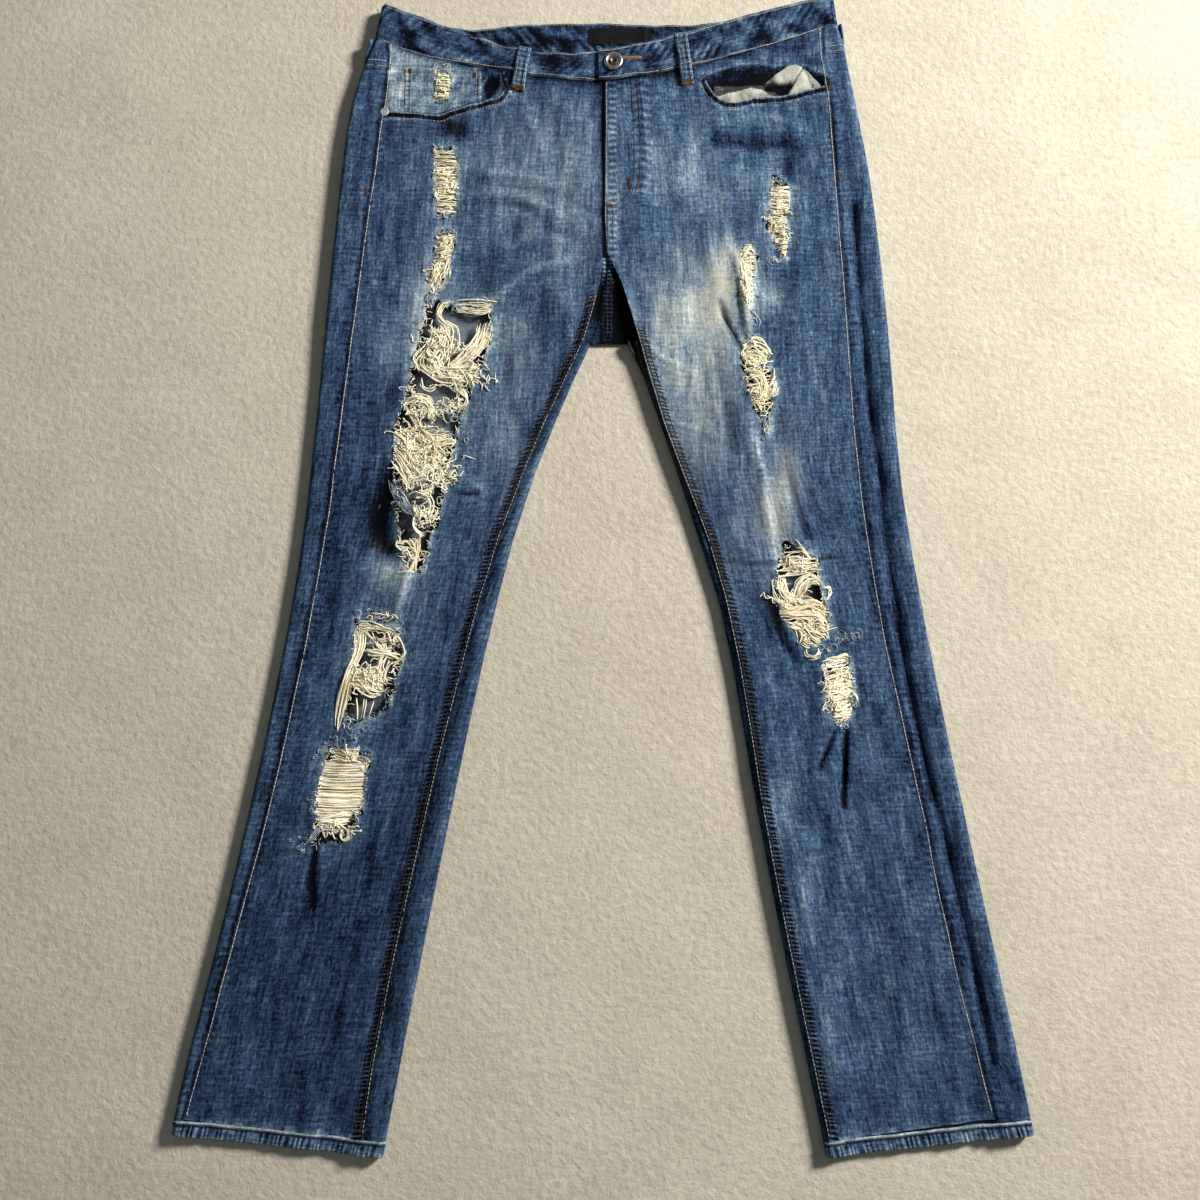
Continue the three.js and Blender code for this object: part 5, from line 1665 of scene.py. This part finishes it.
strands["rightThigh"] = [
    ([(-128, 212), (-118, 213), (-106, 212), (-90, 210)],
     [(-127, 202), (-116, 200), (-104, 198), (-95, 202)], 15),
    ([(-128, 211), (-140, 211), (-144, 200), (-138, 191), (-126, 185)],
     [(-131, 207), (-137, 206), (-140, 199), (-135, 193), (-123, 187)], 7),
    ([(-133, 194), (-123, 185), (-124, 171), (-134, 159), (-143, 148)],
     [(-145, 187), (-151, 175), (-160, 165), (-164, 159), (-158, 149)], 20),
    ([(-144, 185), (-131, 183), (-128, 173), (-131, 163)],
     [(-162, 162), (-152, 159), (-145, 155), (-143, 145)], 14),
    ([(-106, 191), (-113, 175), (-126, 159), (-141, 148)],
     [(-93, 192), (-97, 175), (-109, 161), (-131, 144)], 22),
    ([(-162, 156), (-154, 146), (-143, 139), (-128, 137), (-113, 139)],
     [(-141, 153), (-132, 152), (-121, 153), (-109, 155), (-103, 153)], 26, {"wobble": 1.4}),
    ([(-157, 142), (-156, 133), (-148, 129), (-140, 135)],
     [(-155, 141), (-153, 135), (-148, 132), (-142, 136)], 3),
    ([(-135, 136), (-125, 130), (-114, 123), (-115, 114), (-124, 112)],
     [(-120, 136), (-116, 130), (-116, 122), (-122, 118), (-128, 122)], 7),
    ([(-168, 124), (-160, 128), (-150, 127), (-144, 122)],
     [(-172, 117), (-161, 120), (-152, 118), (-142, 108)], 14),
    ([(-171, 117), (-163, 106), (-155, 94), (-140, 83), (-126, 83)],
     [(-163, 118), (-159, 107), (-151, 95), (-143, 91), (-129, 97)], 13),
    ([(-180, 94), (-170, 97), (-162, 89), (-152, 81), (-136, 77)],
     [(-179, 83), (-170, 79), (-163, 68), (-161, 56), (-149, 59)], 14),
    ([(-142, 89), (-135, 92), (-127, 90), (-125, 84)],
     [(-142, 77), (-134, 79), (-129, 81), (-125, 85)], 11, {"wobble": 1.4}),
    ([(-178, 76), (-169, 62), (-161, 50), (-149, 56), (-136, 66)],
     [(-177, 91), (-168, 79), (-155, 68), (-149, 75), (-136, 78)], 22),
    ([(-181, 70), (-173, 58), (-163, 45)], [(-175, 76), (-167, 64), (-159, 51)], 9),
    ([(-136, 63), (-139, 51), (-148, 41), (-158, 36)], [(-141, 61), (-145, 49), (-152, 43), (-159, 41)], 9),
    ([(-183, 54), (-180, 40), (-171, 28), (-161, 20)],
     [(-174, 51), (-168, 42), (-163, 32), (-157, 25)], 16, {"shade": 0.6, "cool": 1}),
    ([(-160, 38), (-148, 40), (-142, 30), (-146, 21), (-157, 22), (-159, 31)],
     [(-158, 35), (-150, 36), (-146, 30), (-148, 24), (-155, 25), (-157, 30)], 5),
    ([(-161, 22), (-159, 11), (-153, 1)], [(-153, 21), (-157, 11), (-150, 4)], 7),
    ([(-174, -5), (-167, -1), (-158, -11), (-156, -24), (-159, -32)],
     [(-153, 4), (-153, -7), (-157, -17), (-161, -25), (-164, -28)], 18, {"warm": 0.35}),
    ([(-166, -3), (-172, -1), (-175, -5), (-171, -9), (-165, -7)],
     [(-167, -4), (-171, -3), (-173, -5), (-170, -7), (-166, -6)], 3),
]
strands["rightKnee"] = [
    ([(-204, -69), (-194, -69), (-183, -73), (-173, -76)],
     [(-203, -74), (-193, -77), (-184, -78), (-175, -80)], 16),
    ([(-207, -75), (-206, -93), (-212, -110), (-217, -124), (-220, -144), (-221, -159), (-218, -164)],
     [(-198, -77), (-198, -93), (-205, -108), (-209, -124), (-212, -139), (-216, -151), (-219, -160)], 24),
    ([(-199, -77), (-190, -86), (-182, -93), (-169, -99)],
     [(-197, -79), (-188, -90), (-180, -97), (-166, -103)], 6),
    ([(-198, -93), (-188, -94), (-178, -95), (-167, -95)],
     [(-198, -97), (-187, -99), (-178, -99), (-169, -103)], 8),
    ([(-182, -92), (-186, -101), (-187, -106), (-197, -116)],
     [(-174, -103), (-179, -112), (-181, -121), (-187, -123)], 9),
    ([(-177, -79), (-170, -86), (-165, -97), (-175, -108)],
     [(-175, -77), (-167, -84), (-164, -97), (-173, -105)], 4),
    ([(-209, -123), (-201, -128), (-192, -134), (-183, -130)],
     [(-200, -112), (-193, -109), (-187, -115), (-179, -121)], 30, {"wobble": 1.5}),
    ([(-205, -133), (-204, -142), (-204, -152)], [(-187, -136), (-189, -142), (-192, -149)], 4,
     {"wobble": 0.3}),
    ([(-212, -144), (-213, -151), (-211, -159)],
     [(-202, -162), (-204, -168), (-200, -169)], 6, {"cool": 1, "shade": 0.5}),
]
strands["rightShin"] = [
    ([(-221, -176), (-214, -176), (-203, -181)],
     [(-224, -185), (-212, -187), (-194, -187)], 16, {"warm": 0.2}),
    ([(-232, -230), (-223, -230), (-211, -226), (-200, -226)],
     [(-234, -240), (-227, -237), (-219, -239), (-208, -237)], 18),
    ([(-225, -234), (-235, -242), (-240, -251), (-244, -256)],
     [(-219, -235), (-228, -242), (-235, -249), (-238, -254)], 11, {"cool": 1, "shade": 0.5}),
    ([(-204, -224), (-202, -233), (-200, -242)],
     [(-200, -224), (-199, -233), (-199, -239)], 7, {"cool": 1, "shade": 0.7}),
    ([(-212, -239), (-207, -242), (-207, -249), (-212, -251), (-215, -245), (-212, -241)],
     [(-212, -240), (-208, -243), (-209, -248), (-212, -249), (-213, -245), (-212, -242)], 4),
]
strands["leftHip"] = [
    ([(147, 253), (145, 248), (147, 244), (152, 245)],
     [(153, 254), (154, 250), (152, 247), (149, 245)], 7, {"cool": 1, "shade": 0.4}),
]
strands["leftFold"] = [
    ([(120, 257), (126, 261), (132, 263), (136, 258)],
     [(122, 249), (126, 252), (132, 253), (135, 254)], 14),
    ([(120, 253), (122, 239), (124, 225), (125, 205)],
     [(131, 251), (131, 237), (129, 221), (129, 205)], 20, {"wobble": 1.2}),
    ([(127, 205), (133, 199), (138, 193), (137, 187)],
     [(129, 203), (132, 196), (134, 191), (134, 188)], 5, {"cool": 1, "shade": 0.3}),
]
strands["leftThigh"] = [
    ([(124, 173), (134, 180), (143, 174), (147, 164)],
     [(122, 162), (130, 154), (137, 154), (145, 158)], 28, {"wobble": 1.5}),
    ([(126, 174), (121, 168), (122, 160), (130, 154)], [(131, 174), (126, 168), (127, 162), (132, 160)], 7),
    ([(126, 151), (139, 147), (143, 135), (141, 123)],
     [(130, 143), (135, 133), (136, 123), (138, 113)], 20, {"warm": 0.12}),
    ([(139, 127), (147, 139), (149, 153)], [(142, 123), (150, 127), (155, 127)], 24, {"wobble": 1.3}),
    ([(136, 115), (138, 100), (139, 87)],
     [(142, 115), (141, 102), (143, 88)], 9, {"cool": 1, "shade": 0.35}),
]
strands["leftKnee"] = [
    ([(164, -1), (171, -7), (178, -17)], [(165, -11), (170, -11), (176, -19)], 9),
    ([(153, -15), (163, -14), (176, -17)], [(153, -32), (163, -28), (179, -26)], 22),
    ([(147, -28), (143, -39), (149, -52), (162, -60)],
     [(155, -32), (158, -43), (162, -49), (173, -52)], 18),
    ([(160, -49), (165, -34), (176, -28), (186, -36)],
     [(168, -50), (175, -41), (183, -38), (188, -41)], 15),
    ([(146, -50), (158, -60), (171, -52), (184, -52), (188, -62)],
     [(149, -63), (162, -65), (173, -65), (186, -67), (189, -71)], 30, {"warm": 0.28}),
    ([(155, -73), (163, -78), (169, -91), (179, -91)],
     [(165, -70), (176, -72), (189, -76), (193, -84)], 26, {"wobble": 1.5, "warm": 0.2}),
    ([(185, -41), (192, -40), (193, -46), (190, -52), (186, -50)],
     [(186, -43), (190, -43), (191, -46), (189, -50), (186, -49)], 4),
    ([(169, -91), (170, -100), (177, -102), (185, -98), (183, -91)],
     [(172, -92), (173, -97), (177, -99), (181, -96), (181, -92)], 6),
]
strands["leftShin"] = [
    ([(184, -103), (193, -99), (207, -97), (208, -102)],
     [(182, -112), (191, -107), (202, -104), (207, -105)], 14),
    ([(181, -118), (189, -120), (200, -116), (210, -120)],
     [(183, -136), (193, -132), (202, -132), (211, -127)], 22, {"wobble": 1.5}),
    ([(187, -138), (194, -143), (203, -143), (212, -138)],
     [(194, -156), (198, -152), (203, -152), (208, -149)], 20, {"wobble": 1.5}),
    ([(208, -125), (213, -131), (213, -138), (209, -142)],
     [(208, -127), (211, -132), (211, -137), (208, -140)], 4),
]
strands["coinPocket"] = [
    ([(-150, 428), (-143, 431), (-138, 429), (-129, 423)],
     [(-149, 420), (-143, 422), (-138, 421), (-131, 418)], 9, {"cool": 1, "shade": 0.7}),
]
threadLook = {"steps": 12, "radius": 0.56, "wobble": 1.1, "lift": 0.5, "loft": 1.7, "shade": 0.0,
              "warm": 0.0, "cool": 0}

# Straight weft threads left across a rip: first and last share of its height, threads, and what differs.
ladders = {
    "rightHip": [(0.05, 0.95, 58, {"wobble": 0.7})],
    "rightFork": [(0.08, 0.60, 30, {"wobble": 0.8, "slope": 3})],
    "rightShin": [(0.14, 0.392, 26, {"wobble": 0.22, "wide": 0.1}),
                  (0.408, 0.68, 27, {"wobble": 0.22, "wide": 0.1})],
    "leftHip": [(0.12, 0.97, 72, {"wobble": 0.6, "slope": 1.5})],
    "leftFold": [(0.04, 0.80, 34, {"wobble": 0.8, "slope": 3})],
    "leftThigh": [(0.08, 0.70, 24, {"wobble": 1.2, "slope": 7})],
    "leftKnee": [(0.05, 0.30, 12, {"wobble": 0.9, "slope": 6}),
                 (0.55, 0.8, 14, {"wobble": 1.4, "slope": -4, "warm": 0.2})],
    "leftShin": [(0.02, 0.95, 46, {"wobble": 1.3, "slope": 9})],
    "coinPocket": [(0.16, 0.92, 26, {"wobble": 0.5})],
}

# Loose tangles: centre, half sizes, number, reach of the threads.
nests = {
    "rightHip": [(-137, 322, 8, 28, 30, 8)],
    "rightFork": [(-138, 262, 7, 10, 16, 8), (-146, 235, 5, 12, 16, 7)],
    "rightThigh": [(-118, 143, 24, 10, 50, 16), (-112, 168, 14, 14, 14, 12), (-140, 172, 16, 16, 34, 14),
                   (-150, 112, 14, 8, 30, 14), (-128, 118, 16, 6, 14, 12), (-152, 86, 16, 14, 44, 17),
                   (-134, 54, 14, 12, 26, 14), (-162, 128, 6, 12, 12, 8), (-140, 72, 22, 12, 32, 14),
                   (-156, 52, 18, 14, 28, 13), (-148, 20, 10, 14, 22, 12), (-160, -14, 9, 12, 20, 10),
                   (-165, 90, 10, 14, 14, 12)],
    "rightKnee": [(-190, -117, 16, 10, 38, 13), (-180, -88, 10, 10, 18, 12), (-186, -66, 14, 4, 12, 9),
                  (-205, -110, 4, 26, 14, 9)],
    "rightShin": [(-215, -240, 14, 6, 20, 10), (-210, -180, 14, 4, 12, 12)],
    "leftHip": [(157, 290, 9, 34, 36, 8)],
    "leftFold": [(128, 235, 6, 20, 24, 8)],
    "leftThigh": [(133, 160, 12, 10, 28, 11), (138, 128, 10, 14, 26, 10)],
    "leftKnee": [(168, -22, 12, 8, 20, 12), (160, -50, 16, 12, 26, 13), (178, -72, 16, 10, 32, 12)],
    "leftShin": [(198, -128, 11, 20, 46, 10)],
    "coinPocket": [(-142, 414, 6, 14, 14, 6)],
}

# Curled ends of the cut warp: centre, half sizes, number, radius of the curls.
curls = {
    "rightHip": [(-139, 352, 8, 3, 16, 2.2), (-138, 291, 6, 3, 12, 2.0)],
    "rightFork": [(-135, 274, 6, 4, 12, 2.0), (-146, 217, 4, 5, 12, 1.8)],
    "rightThigh": [(-112, 211, 10, 3, 18, 2.4), (-126, 207, 5, 4, 10, 2.2), (-131, 113, 12, 9, 40, 2.8),
                   (-122, 92, 8, 6, 16, 2.2), (-175, 40, 5, 12, 24, 1.6), (-149, 17, 6, 4, 12, 2.0),
                   (-163, -20, 5, 6, 8, 1.8)],
    "rightKnee": [(-191, -62, 16, 4, 30, 2.6), (-170, -84, 5, 12, 18, 2.4), (-180, -129, 5, 5, 10, 2.6),
                  (-206, -162, 12, 9, 22, 2.6)],
    "rightShin": [(-220, -171, 9, 6, 16, 3.0), (-193, -181, 6, 4, 14, 2.6), (-235, -182, 3, 6, 8, 1.8),
                  (-237, -222, 3, 6, 10, 1.8), (-212, -243, 9, 5, 16, 2.6), (-242, -252, 7, 8, 18, 2.2)],
    "leftHip": [(158, 324, 6, 4, 22, 2.2), (154, 249, 4, 4, 12, 2.4)],
    "leftFold": [(133, 257, 6, 4, 18, 2.2), (132, 212, 4, 6, 10, 2.0), (136, 197, 4, 6, 8, 2.2)],
    "leftThigh": [(131, 178, 8, 4, 12, 2.2), (142, 152, 6, 4, 8, 2.0), (141, 94, 3, 9, 14, 2.0)],
    "leftKnee": [(170, -6, 6, 4, 8, 2.0), (150, -34, 3, 10, 8, 1.8), (205, -84, 9, 7, 30, 3.0),
                 (190, -92, 8, 4, 12, 3.0)],
    "leftShin": [(206, -103, 5, 3, 10, 2.4), (190, -124, 2, 9, 10, 1.6), (210, -137, 3, 9, 14, 2.0),
                 (201, -156, 5, 4, 18, 2.0)],
    "coinPocket": [(-142, 431, 8, 2.5, 14, 1.6), (-143, 398, 4, 2, 8, 1.6)],
}
ripOf = dict(zip(("rightHip", "rightFork", "rightThigh", "rightKnee", "rightShin"), rips["right"]))
ripOf.update(zip(("leftHip", "leftFold", "leftThigh", "leftKnee", "leftShin"), rips["left"]))
coinRip = [(-149, 430), (-148, 414), (-148, 398), (-137, 398), (-136, 414), (-135, 430)]
ripOf["coinPocket"] = np.array(coinRip, float)


def widthAt(loop, y):  # left and right edge of a rip at y
    a, b = loop, np.roll(loop, -1, axis=0)
    hit = (a[:, 1] - y) * (b[:, 1] - y) <= 0
    a, b = a[hit], b[hit]
    x = a[:, 0] + (y - a[:, 1]) / np.where(b[:, 1] == a[:, 1], 1, b[:, 1] - a[:, 1]) * (b[:, 0] - a[:, 0])
    return x.min(), x.max()


def wobbly(count, steps, size):  # smooth sideways noise for threads
    t = spread(steps)[None]
    total = np.zeros((count, steps))
    for turns in (0.8, 1.7, 3.1):
        total += (rng.normal(0, 1, (count, 1))
                  * np.sin(2 * math.pi * (turns * rng.uniform(0.7, 1.3, (count, 1)) * t
                                          + rng.uniform(0, 1, (count, 1))))
                  / turns ** 0.8)
    return total * size


def threadHeight(name, x, y):
    base = topHeight(x.ravel(), y.ravel()) + (0.1 if name == "coinPocket" else 0)
    return base.reshape(x.shape)


def laid(name, x, y, look, ends=1.0):  # threads at rest on and across a rip
    count, steps = x.shape
    t = spread(steps)[None]
    arch = np.sin(math.pi * t) ** 0.6
    z = threadHeight(name, x, y) + look["lift"] + look["loft"] * rng.uniform(-0.5, 1, (count, 1)) * arch
    z = z + wobbly(count, steps, 0.3) - 0.8 * ends * (1 - arch)
    low = form["under"] + form["wall"]
    return np.dstack([x, y, np.maximum(z, low)])


def bundleLines(name, first, second, count, given=None):
    look = {**threadLook, **(given or {})}
    t = spread(look["steps"])
    guides = []
    for guide in (first, second):
        path = smoothPath(guide, 1.5)
        guides.append(along(path, t * runs(path)[-1]))
    share = (np.arange(count) + rng.uniform(0.1, 0.9, count)) / count
    path = guides[0][None] * (1 - share[:, None, None]) + guides[1][None] * share[:, None, None]
    trim0, trim1 = rng.uniform(-0.04, 0.12, (count, 1)), rng.uniform(0.88, 1.04, (count, 1))
    at = np.clip(trim0 + (trim1 - trim0) * t[None], 0, 1) * (look["steps"] - 1)
    index = np.minimum(at.astype(int), look["steps"] - 2)
    part = (at - index)[..., None]
    rows = np.arange(count)[:, None]
    path = path[rows, index] * (1 - part) + path[rows, index + 1] * part
    x = path[..., 0] + wobbly(count, look["steps"], look["wobble"] * 0.55)
    y = path[..., 1] + wobbly(count, look["steps"], look["wobble"] * 0.55)
    return laid(name, x, y, look), look


def ladderLines(name, low, high, count, given):
    look = {**threadLook, "slope": 0.0, "wide": 0.6, **given}
    loop = ripOf[name]
    top, bottom = loop[:, 1].max(), loop[:, 1].min()
    share = np.sort((np.arange(count) + rng.uniform(0.0, 1.0, count)) / count)
    middle = top + (bottom - top) * (low + (high - low) * share)
    t = spread(look["steps"])[None]
    ends = np.array([widthAt(loop, y) for y in np.clip(middle, bottom + 0.5, top - 0.5)])
    reach = rng.uniform(0.2, 2.2, (count, 2)) * look["wide"] / 0.6
    left, right = (ends[:, 0] - reach[:, 0])[:, None], (ends[:, 1] + reach[:, 1])[:, None]
    x = left + (right - left) * t + wobbly(count, look["steps"], look["wobble"] * 0.2)
    y = (middle[:, None] + look["slope"] * (t - 0.5) * rng.uniform(0.3, 1.4, (count, 1))
         - 0.7 * np.sin(math.pi * t))
    y = y + wobbly(count, look["steps"], look["wobble"] * 0.55)
    return laid(name, x, y, look), look


def curlLines(name, cx, cy, wide, tall, count, size):
    steps = threadLook["steps"]
    t = spread(steps)[None]
    start = rng.uniform(0, 2 * math.pi, (count, 1))
    turn = start + rng.uniform(2.0, 6.5, (count, 1)) * rng.choice((-1, 1), (count, 1)) * t
    radius = size * rng.uniform(0.5, 1.3, (count, 1)) * (1 - 0.35 * t)
    x = cx + rng.normal(0, wide * 0.5, (count, 1)) + radius * np.cos(turn)
    y = (cy + rng.normal(0, tall * 0.5, (count, 1))
         + radius * np.sin(turn) * rng.uniform(0.6, 1.2, (count, 1)))
    return laid(name, x, y, {**threadLook, "lift": 0.6, "loft": 1.8}, 0.3)


def nestLines(name, cx, cy, wide, tall, count, reach):
    steps = threadLook["steps"]
    t = np.linspace(-0.5, 0.5, steps)[None]
    heading = rng.uniform(0, math.pi, (count, 1))
    x = (cx + rng.normal(0, wide * 0.45, (count, 1)) + t * reach * np.cos(heading)
         + wobbly(count, steps, reach * 0.17))
    y = (cy + rng.normal(0, tall * 0.45, (count, 1)) + t * reach * np.sin(heading) * 0.6
         + wobbly(count, steps, reach * 0.17))
    look = {**threadLook, "lift": 0.8, "loft": 2.2, "radius": 0.48}
    return laid(name, x, y, look, 0.5), look


fringeLook = {"gap": 0.8, "kept": 0.55, "long": (1.2, 9.0), "radius": 0.30, "outside": 0.3, "spread": 0.5,
              "bend": 1.7, "foot": 0.9, "lift": 0.75}


def fringeLines(name):  # frayed ends all round a rip: weft at its sides, warp at its ends
    look = fringeLook
    loop = denser(ripOf[name], look["gap"])
    ahead = np.roll(loop, -1, axis=0) - np.roll(loop, 1, axis=0)
    ahead /= np.linalg.norm(ahead, axis=1, keepdims=True)
    inward = stack([-ahead[:, 1], ahead[:, 0]])
    if not within(*(loop[:1] + inward[:1] * 0.5).T, loop)[0]:
        inward = -inward
    kept = rng.uniform(0, 1, len(loop)) < look["kept"]
    loop, ahead, inward = loop[kept] + rng.normal(0, 0.5, (kept.sum(), 2)), ahead[kept], inward[kept]
    count, steps = len(loop), threadLook["steps"]
    t = spread(steps)[None]
    facing = np.arctan2(inward[:, 1], inward[:, 0])[:, None]
    outside = rng.uniform(0, 1, (count, 1)) < look["outside"]
    facing = facing + np.where(outside, math.pi, 0) + rng.normal(0, look["spread"], (count, 1))
    bend = facing + rng.normal(0, look["bend"], (count, 1)) * t
    low, high = look["long"]
    length = (low + (high - low) * rng.uniform(0, 1, (count, 1)) ** 2) * np.where(outside, 0.5, 1.0)
    stepSize = length / steps
    x = loop[:, :1] - np.cos(facing) * look["foot"] + np.cumsum(np.cos(bend) * stepSize, axis=1)
    y = loop[:, 1:] - np.sin(facing) * look["foot"] + np.cumsum(np.sin(bend) * stepSize, axis=1)
    z = threadHeight(name, x, y) + look["lift"] + rng.uniform(-0.9, 1.4, (count, 1)) * t
    upright = np.abs(ahead[:, 1]) > 0.75
    return np.dstack([x, y, z]), upright


for name in ripOf:
    groups = [bundleLines(name, *bundle) for bundle in strands.get(name, [])]
    groups += [ladderLines(name, *ladder) for ladder in ladders.get(name, [])]
    groups += [nestLines(name, *nest) for nest in nests[name]]
    hair, upright = fringeLines(name)
    bent = [curlLines(name, *curl) for curl in curls.get(name, [])]
    weft = [lines for lines, look in groups if not look["cool"]] + [hair[upright]]
    sizes = [np.full(len(lines), look["radius"]) for lines, look in groups if not look["cool"]]
    sizes.append(np.full(upright.sum(), fringeLook["radius"]))
    warms = ([np.full(len(lines), look["warm"]) for lines, look in groups if not look["cool"]]
             + [np.zeros(upright.sum())])
    weft, sizes, warms = np.vstack(weft), np.concatenate(sizes), np.concatenate(warms)
    sizes = sizes * rng.uniform(0.75, 1.2, len(sizes))
    taper = 1 - 0.35 * np.abs(np.linspace(-1, 1, threadLook["steps"])) ** 4
    made = tubes(f"weft_{name}", weft, sizes, finishes["rip_thread"], sides=4, taper=taper,
                 shades=rng.uniform(0.1, 0.95, len(weft)),
                 warms=warms)
    belong(made, "denim")
    warp = [lines for lines, look in groups if look["cool"]] + bent + [hair[~upright]]
    warpSizes = np.concatenate([np.full(len(lines), 0.34) for lines in warp[:-1]]
                               + [np.full((~upright).sum(), 0.24)])
    warp = np.vstack(warp)
    made = tubes(f"warp_{name}", warp, warpSizes * rng.uniform(0.6, 1.15, len(warp)), finishes["warp_curl"],
                 sides=4, taper=taper, shades=rng.uniform(0.0, 1.0, len(warp)))
    belong(made, "denim")
print("torn threads made")


# The cloth sheets: each piece's cloth map is read.
def cut(name, withPieces=()):  # reads a piece's cloth map
    made = bpy.data.objects[name]
    spots = np.empty(len(made.data.loops) * 2, np.float32)
    made.data.uv_layers["cloth"].data.foreach_get("uv", spots)


def threadsOf(*rips):
    return [f"{kind}_{rip}" for rip in rips for kind in ("weft", "warp")]


legRips = {name: [rip for rip in ripOf if rip.startswith(name)] for name in legs}
for name in legs:
    backPanelName = f"back_panel_{name}_cloth"
    cut(backPanelName)
    cut(f"back_yoke_{name}_cloth")
    cut(f"back_pocket_{name}_cloth")
    cut(f"hem_{name}_cloth")
    cut(f"pocket_bag_{name}_cloth")
    cut(f"pocket_facing_{name}_cloth")
    cut(f"front_panel_{name}_cloth", threadsOf(*legRips[name]))
    cut(f"belt_loop_front_{name}_cloth")
    cut(f"belt_loop_back_{name}_cloth")
cut("belt_loop_back_centre_cloth")
cut("coin_pocket_cloth", threadsOf("coinPocket"))
cut("seat_fold_cloth")
cut("waistband_cloth",
    ["topstitch_pale", "topstitch_brown"])
cut("waist_label_cloth", ["size_tab_cloth"])


# Floor, light and camera.
floorLook = {"size": 6, "below": 0.0002, "dull": tint(168, 160, 142), "pale": tint(224, 216, 197),
             "grit": 1.1, "blotch": 0.5}
bpy.ops.mesh.primitive_plane_add(size=floorLook["size"])
floor = bpy.context.object
floor.name = "floor"
floor.location.z = -floorLook["below"]
material, shader, start = newFinish("floor", Roughness=0.95)
place = start.node("ShaderNodeTexCoord", output=3)
grit = place.grain(5, 0.7, 150.0)
blotch = place.grain(3, 0.6, 14.0)
tone = grit * floorLook["grit"] + blotch * floorLook["blotch"] + 0.5
plug(shader, {"Base Color": tone.ramp([(0.0, floorLook["dull"]), (1.0, floorLook["pale"])]),
              "Normal": start.bump(place.grain(5, 0.65, 170.0), 0.6, 2.0)})
floor.data.materials.append(material)

studio = {"key": 142, "keySize": 0.5, "keyColour": (1.0, 0.965, 0.91), "keyPlace": (2.0, 1.2, 1.25),
          "keyAim": (0.05, -0.05, 0), "sky": (0.86, 0.93, 1.0, 1), "skyStrength": 0.155}
light = bpy.data.lights.new("key", "AREA")
light.energy, light.size, light.color = studio["key"], studio["keySize"], studio["keyColour"]
lamp = bpy.data.objects.new("key", light)
lamp.location = studio["keyPlace"]
lamp.rotation_euler = (Vector(studio["keyAim"]) - lamp.location).to_track_quat("-Z", "Y").to_euler()
bpy.context.scene.collection.objects.link(lamp)
world = bpy.data.worlds.new("studio")
world.use_nodes = True
background = world.node_tree.nodes["Background"]
background.inputs["Color"].default_value = studio["sky"]
background.inputs["Strength"].default_value = studio["skyStrength"]
bpy.context.scene.world = world
bpy.context.scene.view_settings.view_transform = "Standard"

cameraView = {"place": (-0.001, -0.192, 1.006), "tilt": math.radians(8), "lens": 36}
camera = bpy.data.objects.new("camera", bpy.data.cameras.new("camera"))
camera.data.lens = camera.data.sensor_width = cameraView["lens"]
camera.location = cameraView["place"]
camera.rotation_euler = (cameraView["tilt"], 0, 0)
bpy.context.scene.collection.objects.link(camera)
bpy.context.scene.camera = camera
